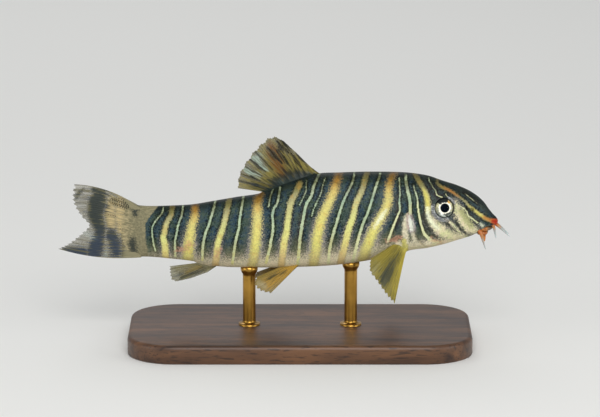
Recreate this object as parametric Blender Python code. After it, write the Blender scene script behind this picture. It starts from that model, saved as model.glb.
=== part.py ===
"""Zebra loach (Botia striata): a still, life-size display model on a plate stand.

The fish faces +X and its right side faces -Y. Sizes are in millimetres and are turned to
metres when a mesh is made. Along the body a place is given as (behind, side, height):
how far behind the snout tip, how far to the left of the midline, and how high above the
lowest line of the belly. The origin is the middle of the stand's underside.
"""
import math

import bmesh
import bpy
import numpy as np

MM = 0.001
GAP = 0.3                    # space kept between two pieces that meet

# Where the fish is held.
SNOUT_X = 36.9               # snout tip, ahead of the stand's middle
BELLY_Z = 14.5               # lowest line of the belly, above the floor
STANDARD_LENGTH = 67.8       # snout tip to the end of the fleshy tail base

# The rear half curves gently to the fish's left.
BEND_START = 38.8
BEND_RATE = 0.00264          # sideways offset for each square millimetre behind the start

# Body stations: behind the snout, height of the back, height of the belly, half width.
STATIONS = (
    (0.0, 8.85, 8.85, 0.0),
    (0.3, 9.54, 8.25, 1.05),
    (1.0, 10.25, 8.1, 1.75),
    (1.75, 11.2, 7.95, 2.15),
    (2.6, 12.4, 7.6, 2.5),
    (4.7, 14.2, 6.3, 3.1),
    (7.6, 15.6, 5.35, 3.65),
    (10.4, 16.5, 4.5, 4.05),
    (13.0, 17.4, 3.9, 4.45),
    (16.5, 17.95, 3.4, 4.75),
    (19.1, 18.1, 2.65, 4.85),
    (23.9, 18.15, 1.5, 4.95),
    (29.5, 18.0, 0.63, 4.95),
    (33.5, 17.8, 0.3, 4.85),
    (38.8, 16.3, 0.1, 4.65),
    (44.1, 14.1, 0.0, 4.25),
    (48.8, 13.3, 0.0, 3.75),
    (53.4, 12.45, 0.25, 3.2),
    (57.0, 11.8, 1.0, 2.75),
    (60.8, 11.5, 1.35, 2.35),
    (65.4, 11.3, 1.6, 1.7),
    (STANDARD_LENGTH, 11.5, 1.45, 1.15),
)
# The section's widest level, as a share of its height, and how square it is below and above.
SECTION = (
    (0.0, 0.35, 2.2, 2.0),
    (4.7, 0.36, 2.5, 2.0),
    (13.0, 0.42, 2.5, 2.1),
    (25.0, 0.46, 2.3, 2.15),
    (STANDARD_LENGTH, 0.5, 2.0, 2.0),
)

# Where the body is parted, and how finely it is made.
AROUND = 36
HEAD_RINGS = 23
TRUNK_RINGS = 9
TRUNK_CUT = 32.5
PEDUNCLE_CUT = 52.0
GILL_EDGE = (14.9, 1.0, -1.3)    # mean place of the gill opening, its lean and its bulge

# Head parts.
EYE_PLACE = (9.95, 12.1)         # behind the snout, height
EYE_RADIUS = 1.95
EYE_DEPTH = 1.3                  # half the eye's thickness from side to side
EYE_PROUD = 0.35                 # how far the eye stands out of the head
LID_RADIUS = 2.2                 # the free fold of skin round the eye
LID_WIDE = 0.42
LID_HIGH = 0.26
COVER_CENTRE = (15.1, 8.4)       # gill cover outline, an ellipse on the cheek
COVER_RADII = (3.7, 4.1)
COVER_INNER = 2.0                # its inner face, from the midline
COVER_RAISED = 0.2
OUTSIDE = 9.0                    # clear of the head's widest place

NOSTRILS = ((5.0, 11.6), (5.9, 11.75))    # front and rear opening: behind the snout, height
NOSTRIL_RADIUS = 0.3
CHEEK_SLIT = ((9.6, 8.9), (7.0, 7.0))     # the sheath of the spine under the eye, end to end
SLIT_WIDTH = 0.35

# Lips: the middle line of each from the left corner round the front, and its radii.
UPPER_LIP = ((3.2, 1.25, 7.4), (2.0, 1.05, 7.55), (1.35, 0.0, 7.65), (2.0, -1.05, 7.55),
             (3.2, -1.25, 7.4))
UPPER_LIP_RADII = (0.25, 0.42, 0.42, 0.42, 0.25)
LOWER_LIP = ((3.5, 1.1, 6.6), (2.6, 0.85, 6.65), (2.15, 0.0, 6.75), (2.6, -0.85, 6.65),
             (3.5, -1.1, 6.6))
LOWER_LIP_RADII = (0.25, 0.46, 0.34, 0.46, 0.25)
CHIN_BARBEL = ((2.7, 0.75, 6.6), (2.55, 0.8, 6.1), (2.55, 0.85, 5.4))
CHIN_BARBEL_RADII = (0.34, 0.28, 0.16)

# Barbels of the left side: the middle line from the root to the tip, and the radii.
BARBELS = {
    "rostral_inner": (((0.9, 0.45, 8.6), (0.1, 0.5, 8.1), (-0.75, 0.75, 7.4),
                       (-2.05, 1.1, 6.2)), (0.36, 0.33, 0.26, 0.14)),
    "rostral_outer": (((1.2, 1.0, 8.9), (0.85, 1.1, 8.0), (0.6, 1.2, 7.0),
                       (0.4, 1.35, 5.9)), (0.36, 0.33, 0.26, 0.14)),
    "maxillary": (((3.9, 1.7, 7.9), (3.3, 2.0, 7.0), (2.95, 2.1, 5.9),
                   (2.4, 2.3, 4.0)), (0.4, 0.38, 0.28, 0.14)),
}

# Fins: the root from the first ray to the last, then the margin as rows of the share of
# the way from first to last and the ray tip's place.
FIN_THICK = 0.5                      # the web between the rays
WEB_LENGTH = 0.955                   # how far the web reaches along the rays
FLESHY_ROOT = 0.16                   # share of the ray's length where the root thins out
RAY_HEIGHT = 0.12
DORSAL_RAYS = 11
DORSAL_ROOT = (33.6, 44.0)
DORSAL_MARGIN = (
    (0.0, 35.0, 0.0, 19.1),
    (0.1, 37.4, 0.05, 21.6),
    (0.2, 40.0, 0.1, 24.0),
    (0.32, 41.8, 0.15, 24.8),
    (0.55, 45.0, 0.2, 22.5),
    (0.72, 47.2, 0.2, 19.5),
    (0.86, 48.3, 0.2, 17.2),
    (1.0, 48.5, 0.15, 15.0),
)
ANAL_RAYS = 8
ANAL_ROOT = (52.8, 56.4)
ANAL_MARGIN = (
    (0.0, 54.2, -0.1, -1.1),
    (0.15, 57.4, -0.25, -2.3),
    (0.3, 60.2, -0.4, -2.9),
    (0.6, 61.2, -0.3, -1.7),
    (1.0, 61.3, -0.2, -0.1),
)
TAIL_UPPER_RAYS = 10
TAIL_UPPER_ROOT = (11.4, 6.65)       # heights at the end of the tail base
TAIL_UPPER_MARGIN = (
    (0.0, 79.2, 0.0, 14.9),
    (0.25, 79.5, 0.1, 12.6),
    (0.5, 79.1, 0.2, 10.7),
    (0.75, 77.9, 0.2, 8.8),
    (1.0, 76.6, 0.2, 7.3),
)
TAIL_UPPER_BOW = (1.05, 0.0)         # how far the first and the last ray arch upwards
TAIL_LOWER_RAYS = 9
TAIL_LOWER_ROOT = (6.35, 1.6)
TAIL_LOWER_MARGIN = (
    (0.0, 76.6, 0.2, 7.0),
    (0.25, 77.8, 0.2, 5.6),
    (0.5, 79.4, 0.1, 4.2),
    (0.75, 81.0, 0.0, 3.1),
    (1.0, 82.3, 0.0, 2.4),
)
TAIL_LOWER_BOW = (0.0, -0.8)
# Paired fins are given for the left side.
PECTORAL_RAYS = 12
PECTORAL_ROOT = ((17.3, 3.0, 4.0), (19.3, 3.9, 5.4))
PECTORAL_MARGIN = (
    (0.0, 19.4, 8.0, -5.1),
    (0.25, 21.0, 7.6, -3.3),
    (0.5, 22.6, 6.9, -1.1),
    (0.75, 24.0, 6.2, 1.0),
    (1.0, 23.9, 5.6, 2.8),
)
PECTORAL_CUP = 0.5                   # how far the middle of the fin bulges outwards
PELVIC_RAYS = 8
PELVIC_ROOT = ((36.8, 2.0, 1.3), (38.4, 1.2, 1.1))
PELVIC_MARGIN = (
    (0.0, 42.4, 4.4, -4.0),
    (0.3, 44.3, 3.8, -3.6),
    (0.65, 45.4, 2.9, -2.5),
    (1.0, 45.0, 2.0, -1.5),
)

# Stand.
BASE_LENGTH = 64.0
BASE_WIDTH = 34.0
BASE_THICK = 3.5
BASE_CORNER = 9.0
ROD_RADIUS = 1.2
ROD_PLACES = (("front", 9.5), ("rear", -9.5))

COLOURS = {
    "skin": (0.11, 0.14, 0.13),
    "cheek": (0.45, 0.42, 0.26),
    "fin": (0.33, 0.29, 0.16),
    "lip": (0.62, 0.3, 0.1),
    "barbel": (0.5, 0.3, 0.2),
    "eye": (0.02, 0.03, 0.05),
    "wood": (0.12, 0.06, 0.03),
    "rod": (0.6, 0.45, 0.2),
}


def clear_scene():
    for obj in list(bpy.data.objects):
        bpy.data.objects.remove(obj, do_unlink=True)


def collection(name):
    made = bpy.data.collections.new(name)
    bpy.context.scene.collection.children.link(made)
    return made


clear_scene()
PARTS = collection("zebra_loach")
CUTTERS = collection("cutters")


def material(kind):
    """One plain finish for each kind of piece."""
    name = "finish_" + kind
    found = bpy.data.materials.get(name)
    if found:
        return found
    made = bpy.data.materials.new(name)
    made.use_nodes = True
    shader = made.node_tree.nodes["Principled BSDF"]
    shader.inputs["Base Color"].default_value = (*COLOURS[kind], 1.0)
    shader.inputs["Roughness"].default_value = 0.3 if kind in ("eye", "rod") else 0.5
    shader.inputs["Metallic"].default_value = 1.0 if kind == "rod" else 0.0
    return made


def smooth_curve(at, knots, values):
    """Monotone cubic through the knots, so that a profile has no waves between stations."""
    knots, values = np.asarray(knots, float), np.asarray(values, float)
    step = np.diff(knots)
    slope = np.diff(values) / step
    tangent = np.concatenate(([slope[0]], (slope[:-1] + slope[1:]) / 2, [slope[-1]]))
    turns = slope[:-1] * slope[1:] <= 0
    tangent[1:-1][turns] = 0
    limit = 3 * np.minimum(np.abs(slope[:-1]), np.abs(slope[1:]))
    tangent[1:-1] = np.clip(tangent[1:-1], -limit, limit)
    at = np.clip(np.asarray(at, float), knots[0], knots[-1])
    k = np.clip(np.searchsorted(knots, at) - 1, 0, len(step) - 1)
    s = (at - knots[k]) / step[k]
    return (values[k] * (1 + 2 * s) * (1 - s) ** 2 + values[k + 1] * s * s * (3 - 2 * s)
            + step[k] * s * (1 - s) * (tangent[k] * (1 - s) - tangent[k + 1] * s))


def station(behind, column):
    """A body measure. It is read against the root of the distance, which rounds the snout."""
    table = np.array(STATIONS)
    return smooth_curve(np.sqrt(np.maximum(behind, 0)), np.sqrt(table[:, 0]), table[:, column])


def section(behind, column):
    table = np.array(SECTION)
    return smooth_curve(behind, table[:, 0], table[:, column])


def back(behind):
    return station(behind, 1)


def belly(behind):
    return station(behind, 2)


def bend(behind):
    """Sideways place of the midline."""
    return BEND_RATE * np.maximum(behind - BEND_START, 0) ** 2


def place(behind, side, height):
    """Body measures to the model's own axes, in millimetres."""
    behind, side, height = np.broadcast_arrays(behind, side, height)
    return np.stack((SNOUT_X - behind, side + bend(behind), BELLY_Z + height), axis=-1)


def body_surface(behind, angle, grow=0.0, inward=1.0):
    """Skin of the body: angle 0 is the back and a quarter turn is the left flank.

    A section is a superellipse with its own squareness above and below its widest level.
    """
    behind, angle = np.broadcast_arrays(np.asarray(behind, float), np.asarray(angle, float))
    top = back(behind) + grow
    low = belly(behind) - grow
    wide = station(behind, 3) + grow
    level = low + section(behind, 1) * (top - low)
    upper = np.cos(angle) >= 0
    power = 2 / np.where(upper, section(behind, 3), section(behind, 2))
    reach = np.where(upper, top - level, low - level)
    across = wide * np.sign(np.sin(angle)) * np.abs(np.sin(angle)) ** power
    height = level + reach * np.abs(np.cos(angle)) ** power
    if grow:
        behind = behind - grow * np.clip(1 - behind / 2, 0, 1)
    middle = (top + low) / 2
    return place(behind, across * inward, middle + (height - middle) * inward)


def mesh_object(name, points, faces, kind=None):
    """A closed mesh from points in millimetres, with its faces turned outwards."""
    mesh = bpy.data.meshes.new(name)
    mesh.from_pydata([tuple(p) for p in np.asarray(points) * MM], [], faces)
    work = bmesh.new()
    work.from_mesh(mesh)
    if work.calc_volume(signed=True) < 0:
        bmesh.ops.reverse_faces(work, faces=work.faces)
    work.to_mesh(mesh)
    work.free()
    obj = bpy.data.objects.new(name, mesh)
    if kind is None:
        CUTTERS.objects.link(obj)
        obj.hide_render = True
        obj.display_type = "WIRE"
    else:
        PARTS.objects.link(obj)
        mesh.materials.append(material(kind))
        mesh.shade_smooth()
    return obj


def loft(name, rings, kind=None):
    """Closed rings of equal count, joined in order. An end ring of one point closes to it."""
    points, faces, starts = [], [], []
    for ring in rings:
        starts.append(len(points))
        points.extend(ring)
    for a, b, first, second in zip(rings[:-1], rings[1:], starts[:-1], starts[1:]):
        count = max(len(a), len(b))
        for i in range(count):
            j = (i + 1) % count
            if len(a) == 1:
                faces.append((first, second + j, second + i))
            elif len(b) == 1:
                faces.append((first + i, first + j, second))
            else:
                faces.append((first + i, first + j, second + j))
                faces.append((first + i, second + j, second + i))
    for ring, start, turn in ((rings[0], starts[0], 1), (rings[-1], starts[-1], -1)):
        if len(ring) > 1:
            faces.append(tuple(range(start, start + len(ring)))[::-turn])
    return mesh_object(name, points, faces, kind)


def keep_largest(obj):
    """Keeps only the largest closed surface of a mesh."""
    work = bmesh.new()
    work.from_mesh(obj.data)
    left = set(work.faces)
    groups = []
    while left:
        group, edge = set(), [left.pop()]
        while edge:
            face = edge.pop()
            group.add(face)
            near = {f for e in face.edges for f in e.link_faces} & left
            left -= near
            edge.extend(near)
        groups.append(group)
    best = max(groups, key=lambda g: sum(f.calc_area() for f in g))
    scraps = [f for g in groups if g is not best for f in g]
    bmesh.ops.delete(work, geom=scraps, context="FACES")
    loose = [v for v in work.verts if not v.link_faces]
    bmesh.ops.delete(work, geom=loose, context="VERTS")
    bmesh.ops.dissolve_degenerate(work, edges=work.edges, dist=1e-7)
    bmesh.ops.triangulate(work, faces=[f for f in work.faces if len(f.verts) > 4])
    work.to_mesh(obj.data)
    work.free()


def combine(obj, operation, *others):
    """Applies one Boolean on a collection of closed pieces and removes them."""
    group = bpy.data.collections.new("operands")
    bpy.context.scene.collection.children.link(group)
    for other in others:
        group.objects.link(other)
    step = obj.modifiers.new("combine", "BOOLEAN")
    step.operation = operation
    step.operand_type = "COLLECTION"
    step.collection = group
    bpy.context.view_layer.update()
    graph = bpy.context.evaluated_depsgraph_get()
    result = bpy.data.meshes.new_from_object(obj.evaluated_get(graph))
    obj.modifiers.clear()
    obj.data = result
    for other in others:
        bpy.data.objects.remove(other, do_unlink=True)
    bpy.data.collections.remove(group)
    keep_largest(obj)
    return obj


def body_length(name, start, end, lengths, kind, grow=0.0, domed_start=False, domed_end=False):
    """One length of the body between two cuts, which may be functions of the angle."""
    angle = np.linspace(0, 2 * math.pi, AROUND, endpoint=False)
    first = start(angle) if callable(start) else np.full(AROUND, float(start))
    last = end(angle) if callable(end) else np.full(AROUND, float(end))
    rings = []
    if domed_start:
        rings += cap(first, angle, grow)
    for share in np.linspace(0, 1, lengths + 1):
        if callable(start) or np.any(first > 0):
            behind = first + (last - first) * share
        else:
            behind = last * share ** 1.7
        if share == 0 and not grow and np.all(behind == 0):
            rings.append(body_surface(0.0, np.zeros(1)))
        else:
            rings.append(body_surface(behind, angle, grow))
    if domed_end:
        rings += cap(last, angle, grow)[::-1]
    return loft(name, rings, kind)


def cap(edge, angle, grow):
    """Rings that close a cut whose edge isn't flat, out from the middle."""
    middle = edge.mean()
    rings = [body_surface(middle, np.zeros(1), grow, 0.0)]
    for share in (0.4, 0.75):
        rings.append(body_surface(middle + (edge - middle) * share ** 2, angle, grow, share))
    return rings


def gill_edge(angle):
    mean, lean, bulge = GILL_EDGE
    return mean + lean * np.cos(angle) + bulge * np.cos(2 * angle)


def grown_body():
    """The whole body, larger by the gap, which cuts what grows from it."""
    return body_length("grown_body", 0.0, STANDARD_LENGTH, 60, None, grow=GAP)


def side_ellipse(name, centre, radii, inner, outer, side, count=40):
    """An upright prism on one side of the head, with an ellipse for its outline."""
    turn = np.linspace(0, 2 * math.pi, count, endpoint=False)
    behind = centre[0] - radii[0] * np.cos(turn)
    height = centre[1] + radii[1] * np.sin(turn)
    rings = [place(behind, side * reach, height) for reach in (inner, outer)]
    return loft(name, rings)


def on_head(side, behind, height):
    """A point of the head's surface on one side, and the direction it faces."""
    angles = side * np.linspace(0.3, 2.9, 520)
    line = body_surface(behind, angles)
    k = int(np.argmin(np.abs(line[:, 2] - BELLY_Z - height)))
    here = line[k]
    along = body_surface(behind - 0.4, angles[k]) - body_surface(behind + 0.4, angles[k])
    around = body_surface(behind, angles[k] + 0.05) - body_surface(behind, angles[k] - 0.05)
    out = np.cross(along, around)
    out *= np.sign(out[1]) * side / np.linalg.norm(out)
    return here, out


def facing(out):
    """Two directions square to the one that the piece faces."""
    up = np.array((0.0, 0.0, 1.0))
    across = np.cross(up, out)
    across /= np.linalg.norm(across)
    return across, np.cross(out, across)


def eyeball(name, side, grow, kind=None, around=18, rows=8):
    """A ball flattened from side to side, set into the head."""
    here, out = on_head(side, *EYE_PLACE)
    across, up = facing(out)
    middle = here + out * (EYE_PROUD - EYE_DEPTH)
    rings = []
    turn = np.linspace(0, 2 * math.pi, around, endpoint=False)
    for tilt in np.linspace(0, math.pi, rows + 1):
        depth = (EYE_DEPTH + grow) * math.cos(tilt)
        if tilt in (0.0, math.pi):
            rings.append([middle + out * depth])
            continue
        radius = (EYE_RADIUS + grow) * math.sin(tilt)
        ring = (np.cos(turn)[:, None] * across + np.sin(turn)[:, None] * up) * radius
        rings.append(middle + out * depth + ring)
    return loft(name, rings, kind)


def rim(name, middle, out, radius, wide, high, around=24, sides=6):
    """A raised ring of oval section that lies on the skin."""
    across, up = facing(out)
    turn = np.linspace(0, 2 * math.pi, around, endpoint=False)
    roll = np.linspace(0, 2 * math.pi, sides, endpoint=False)
    spoke = np.cos(turn)[:, None] * across + np.sin(turn)[:, None] * up
    points = (middle + spoke[:, None] * (radius + wide * np.cos(roll))[None, :, None]
              + out * (high * np.sin(roll))[None, :, None]).reshape(-1, 3)
    faces = []
    for i in range(around):
        for j in range(sides):
            a, b = i * sides + j, i * sides + (j + 1) % sides
            c, d = (a + sides) % (around * sides), (b + sides) % (around * sides)
            faces.append((a, b, d, c))
    return mesh_object(name, points, faces)


def tapered_tube(name, points, radii, kind=None, sides=8, steps=9, placed=False):
    """A round feeler along a smooth curve through its points, thinner towards its tip."""
    points = np.array(points if placed else [place(*p) for p in points])
    knots = np.linspace(0, 1, len(points))
    share = np.linspace(0, 1, steps)
    path = np.stack([smooth_curve(share, knots, points[:, k]) for k in range(3)], axis=-1)
    ahead = np.gradient(path, axis=0)
    ahead /= np.linalg.norm(ahead, axis=1)[:, None]
    radius = smooth_curve(share, np.linspace(0, 1, len(radii)), radii)
    level = np.abs(ahead[:, 2]).max() < 0.8
    hint = np.array((0.0, 0.0, 1.0)) if level else np.array((0.0, 1.0, 0.0))
    turn = np.linspace(0, 2 * math.pi, sides, endpoint=False)
    rings = []
    for centre, along, size in zip(path, ahead, radius):
        across = np.cross(hint, along)
        across /= np.linalg.norm(across)
        up = np.cross(along, across)
        rings.append(centre + size * (np.cos(turn)[:, None] * across + np.sin(turn)[:, None] * up))
    rings.append([path[-1] + ahead[-1] * radius[-1] * 0.8])
    return loft(name, rings, kind)


def ray_fin(name, roots, margin, rays, base_thick, rows=6, bow=(0.0, 0.0), cup=0.0):
    """A fin whose rays run from the root line to the margin and are ridges on both faces.

    The grid has three columns a ray: the ray itself and two on the web behind it. A point
    lies on the line from its root to its tip, arched upwards by the bow and outwards by the
    cup. Both faces are the middle surface moved by half the thickness, and are split into
    triangles alike.
    """
    columns = 3 * (rays - 1) + 1
    index = np.arange(columns)
    share = (index // 3 + np.array((0.0, 0.3, 0.7))[index % 3]) / (rays - 1)
    on_ray = index % 3 == 0
    roots, margin = np.array(roots), np.array(margin)
    along = np.linspace(0, 1, len(roots))
    root = np.stack([smooth_curve(share, along, roots[:, k]) for k in range(3)], -1)
    tip = np.stack([smooth_curve(share, margin[:, 0], margin[:, k + 1]) for k in range(3)], -1)
    tip = root + (tip - root) * np.where(on_ray, 1.0, WEB_LENGTH)[:, None]
    down = (np.arange(rows + 1) / rows) ** 1.15
    grid = root[:, None] + (tip - root)[:, None] * down[None, :, None]
    grid[..., 2] += (bow[0] + (bow[1] - bow[0]) * share)[:, None] * 4 * down * (1 - down)
    grid[..., 1] += cup * np.sin(math.pi * share)[:, None] * np.sin(0.8 * math.pi * down)
    grid = place(grid[..., 0], grid[..., 1], grid[..., 2])
    normal = np.cross(np.gradient(grid, axis=0), np.gradient(grid, axis=1))
    normal /= np.linalg.norm(normal, axis=-1)[..., None]
    web = FIN_THICK / 2 * (1 - 0.45 * down ** 3)
    web = web + (base_thick - FIN_THICK) / 2 * np.exp(-(down / FLESHY_ROOT) ** 2)
    ray = np.where(on_ray[:, None], RAY_HEIGHT * (1 - 0.5 * down)[None, :], 0)
    thick = (web[None, :] + ray)[..., None]
    points = np.concatenate([(grid + turn * normal * thick).reshape(-1, 3) for turn in (1, -1)])
    span = rows + 1
    other = columns * span
    faces = []
    for i in range(columns - 1):
        for j in range(rows):
            a, b = i * span + j, (i + 1) * span + j
            for c, d, e in ((a, b, b + 1), (a, b + 1, a + 1)):
                faces += [(c, d, e), (c + other, e + other, d + other)]
        for j, turn in ((0, 1), (rows, -1)):
            a, b = i * span + j, (i + 1) * span + j
            faces += [(a, a + other, b + other)[::turn], (a, b + other, b)[::turn]]
    for i, turn in ((0, -1), (columns - 1, 1)):
        for j in range(rows):
            a = i * span + j
            faces += [(a, a + other, a + 1 + other)[::turn], (a, a + 1 + other, a + 1)[::turn]]
    return mesh_object(name, points, faces, "fin")


def head_and_covers():
    """The head runs back to the gill opening, with a gill cover let into each cheek."""
    head = body_length("head", 0.0, gill_edge, HEAD_RINGS, "cheek", domed_end=True)
    for side, word in ((1, "left"), (-1, "right")):
        cover = body_length("gill_cover_" + word, 0.0, gill_edge, HEAD_RINGS, "cheek",
                            domed_end=True)
        combine(cover, "INTERSECT", side_ellipse("outline", COVER_CENTRE, COVER_RADII,
                                                 COVER_INNER, OUTSIDE, side))
        for vertex in cover.data.vertices:
            vertex.co.y += side * COVER_RAISED * MM
        grown = (COVER_RADII[0] + GAP, COVER_RADII[1] + GAP)
        combine(head, "DIFFERENCE", side_ellipse("recess", COVER_CENTRE, grown,
                                                 COVER_INNER + COVER_RAISED - GAP, OUTSIDE, side))
    return head


def eyes_and_lids(head):
    """The free fold of skin round each eye, the socket cut through it, and the eye itself."""
    for side, word in ((1, "left"), (-1, "right")):
        here, out = on_head(side, *EYE_PLACE)
        combine(head, "UNION", rim("lid", here, out, LID_RADIUS, LID_WIDE, LID_HIGH))
        combine(head, "DIFFERENCE", eyeball("socket", side, GAP))
        eyeball("eye_" + word, side, 0.0, "eye")


def nostrils(head):
    """Two openings a side: a short tube in front and a plain hole close behind it."""
    for side in (1, -1):
        for k, spot in enumerate(NOSTRILS):
            here, out = on_head(side, *spot)
            if k == 0:
                tube = rim("nostril_rim", here + out * 0.1, out, NOSTRIL_RADIUS + 0.18, 0.2, 0.2,
                           around=12, sides=5)
                combine(head, "UNION", tube)
            hole = tapered_tube("nostril_hole", (here - out * 0.5, here + out * 0.6),
                                (NOSTRIL_RADIUS * 0.7, NOSTRIL_RADIUS), steps=3, placed=True)
            combine(head, "DIFFERENCE", hole)


def cheek_slits(head):
    """The groove below and before each eye, where the folded spine lies."""
    for side in (1, -1):
        spots = (CHEEK_SLIT[0], np.mean(CHEEK_SLIT, axis=0), CHEEK_SLIT[1])
        path = [on_head(side, *spot)[0] for spot in spots]
        groove = tapered_tube("groove", path, (0.1, SLIT_WIDTH, 0.12), steps=7, sides=6,
                              placed=True)
        combine(head, "DIFFERENCE", groove)


def barbels():
    """Two pairs of feelers on the snout tip and one pair at the corners of the mouth."""
    for word, (points, radii) in BARBELS.items():
        for side, hand in ((1, "left"), (-1, "right")):
            path = [(behind, side * across, height) for behind, across, height in points]
            feeler = tapered_tube("barbel_" + word + "_" + hand, path, radii, "barbel", steps=7)
            combine(feeler, "DIFFERENCE", grown_body())


def lips():
    """The two lips, with a short barbel on each lobe of the lower one."""
    upper = tapered_tube("upper_lip", UPPER_LIP, UPPER_LIP_RADII, "lip", steps=15)
    combine(upper, "DIFFERENCE", grown_body())
    lower = tapered_tube("lower_lip", LOWER_LIP, LOWER_LIP_RADII, "lip", steps=15)
    stubs = [tapered_tube("chin_barbel", [(behind, side * across, height)
                                          for behind, across, height in CHIN_BARBEL],
                          CHIN_BARBEL_RADII, steps=5, sides=6) for side in (1, -1)]
    combine(lower, "UNION", *stubs)
    combine(lower, "DIFFERENCE", grown_body())


def middle_fins():
    """Dorsal, anal and tail fins, which stand on the midline."""
    root = [(behind, 0.0, back(behind) + GAP) for behind in np.linspace(*DORSAL_ROOT, 6)]
    ray_fin("dorsal_fin", root, DORSAL_MARGIN, DORSAL_RAYS, 1.5, rows=7)
    root = [(behind, 0.0, belly(behind) - GAP) for behind in np.linspace(*ANAL_ROOT, 4)]
    ray_fin("anal_fin", root, ANAL_MARGIN, ANAL_RAYS, 1.2)
    end = STANDARD_LENGTH + GAP
    for name, heights, margin, rays, bow in (
            ("caudal_fin_upper", TAIL_UPPER_ROOT, TAIL_UPPER_MARGIN, TAIL_UPPER_RAYS, TAIL_UPPER_BOW),
            ("caudal_fin_lower", TAIL_LOWER_ROOT, TAIL_LOWER_MARGIN, TAIL_LOWER_RAYS, TAIL_LOWER_BOW)):
        root = [(end, 0.0, height) for height in heights]
        ray_fin(name, root, margin, rays, 2.0, rows=8, bow=bow)


def paired_fins():
    """Pectoral and pelvic fins, cut where they meet the body."""
    for side, word in ((1, "left"), (-1, "right")):
        for kind, root, margin, rays, base, cup in (
                ("pectoral", PECTORAL_ROOT, PECTORAL_MARGIN, PECTORAL_RAYS, 1.3, PECTORAL_CUP),
                ("pelvic", PELVIC_ROOT, PELVIC_MARGIN, PELVIC_RAYS, 1.2, 0.0)):
            roots = np.array(root) * (1, side, 1)
            tips = np.array(margin) * (1, 1, side, 1)
            fin = ray_fin(kind + "_fin_" + word, roots, tips, rays, base, cup=side * cup)
            combine(fin, "DIFFERENCE", grown_body())


def stand():
    """A flat plate with rounded corners and two rods that reach up to the belly."""
    quarter = np.linspace(0, math.pi / 2, 9)
    turn = np.concatenate([quarter + k * math.pi / 2 for k in range(4)])
    corner_x = (BASE_LENGTH / 2 - BASE_CORNER) * np.repeat((1, -1, -1, 1), 9)
    corner_y = (BASE_WIDTH / 2 - BASE_CORNER) * np.repeat((1, 1, -1, -1), 9)
    outline = []
    for level, inset in ((0.0, 0.0), (BASE_THICK - 0.8, 0.0), (BASE_THICK - 0.25, 0.25),
                         (BASE_THICK, 0.8)):
        radius = BASE_CORNER - inset
        outline.append(np.stack((corner_x + radius * np.cos(turn), corner_y + radius * np.sin(turn),
                                 np.full_like(turn, level)), axis=-1))
    loft("stand_base", outline, "wood")
    ring = np.linspace(0, 2 * math.pi, 16, endpoint=False)
    for word, x in ROD_PLACES:
        levels = (BASE_THICK + GAP, BELLY_Z + 3.0)
        rod = loft("stand_rod_" + word,
                   [np.stack((x + ROD_RADIUS * np.cos(ring), ROD_RADIUS * np.sin(ring),
                              np.full_like(ring, z)), axis=-1) for z in levels], "rod")
        combine(rod, "DIFFERENCE", grown_body())


head_piece = head_and_covers()
eyes_and_lids(head_piece)
nostrils(head_piece)
cheek_slits(head_piece)
body_length("trunk_front", lambda angle: gill_edge(angle) + GAP, TRUNK_CUT, TRUNK_RINGS, "skin",
            domed_start=True)
body_length("trunk_rear", TRUNK_CUT + GAP, PEDUNCLE_CUT, TRUNK_RINGS, "skin")
body_length("tail_peduncle", PEDUNCLE_CUT + GAP, STANDARD_LENGTH, TRUNK_RINGS, "skin")
barbels()
lips()
middle_fins()
paired_fins()
stand()
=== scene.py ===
"""Zebra loach (Botia striata): the looks of a still, life-size museum model on a plate stand.

Sizes are in millimetres until a mesh is made. A place on the fish is (behind, side, height):
behind the snout tip, to the left of the midline, above the lowest line of the belly.
"""
import math

import bpy
import numpy as np
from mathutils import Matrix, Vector


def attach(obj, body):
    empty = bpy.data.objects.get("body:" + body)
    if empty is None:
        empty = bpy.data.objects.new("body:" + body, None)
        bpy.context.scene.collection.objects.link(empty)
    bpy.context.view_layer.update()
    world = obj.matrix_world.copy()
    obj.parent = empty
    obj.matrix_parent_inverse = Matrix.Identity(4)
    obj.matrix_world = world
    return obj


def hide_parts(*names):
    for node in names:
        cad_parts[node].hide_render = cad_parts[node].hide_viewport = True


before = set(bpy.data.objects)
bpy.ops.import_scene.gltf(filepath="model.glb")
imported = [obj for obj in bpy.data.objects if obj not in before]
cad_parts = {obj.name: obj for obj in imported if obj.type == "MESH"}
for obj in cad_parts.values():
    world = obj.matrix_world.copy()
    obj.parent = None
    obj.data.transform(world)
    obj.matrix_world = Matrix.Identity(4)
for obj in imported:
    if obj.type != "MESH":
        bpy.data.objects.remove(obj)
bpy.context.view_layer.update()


# Skin. A real loach has a tough wet skin with scales too small to see one by one, drawn over
# the skull and the flesh in one sheet. Here it is one closed surface from the snout tip to the
# root of the tail fin, with the lids, nostrils, gill covers and grooves raised or sunk in it.
MM = 0.001
SNOUT_X = 36.9
BELLY_Z = 14.5
TAIL_ROOT = 67.8
FLESH_THINS, TAIL_FLESH = 65.6, 70.4     # the flesh thins out over the roots of the tail rays
BEND_START, BEND_RATE = 38.8, 0.00264
SIGHT_DOWN = math.radians(12)    # the markings were measured looking down by this much
FAR_OFF = 9.0                    # out of reach of any mark
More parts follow.
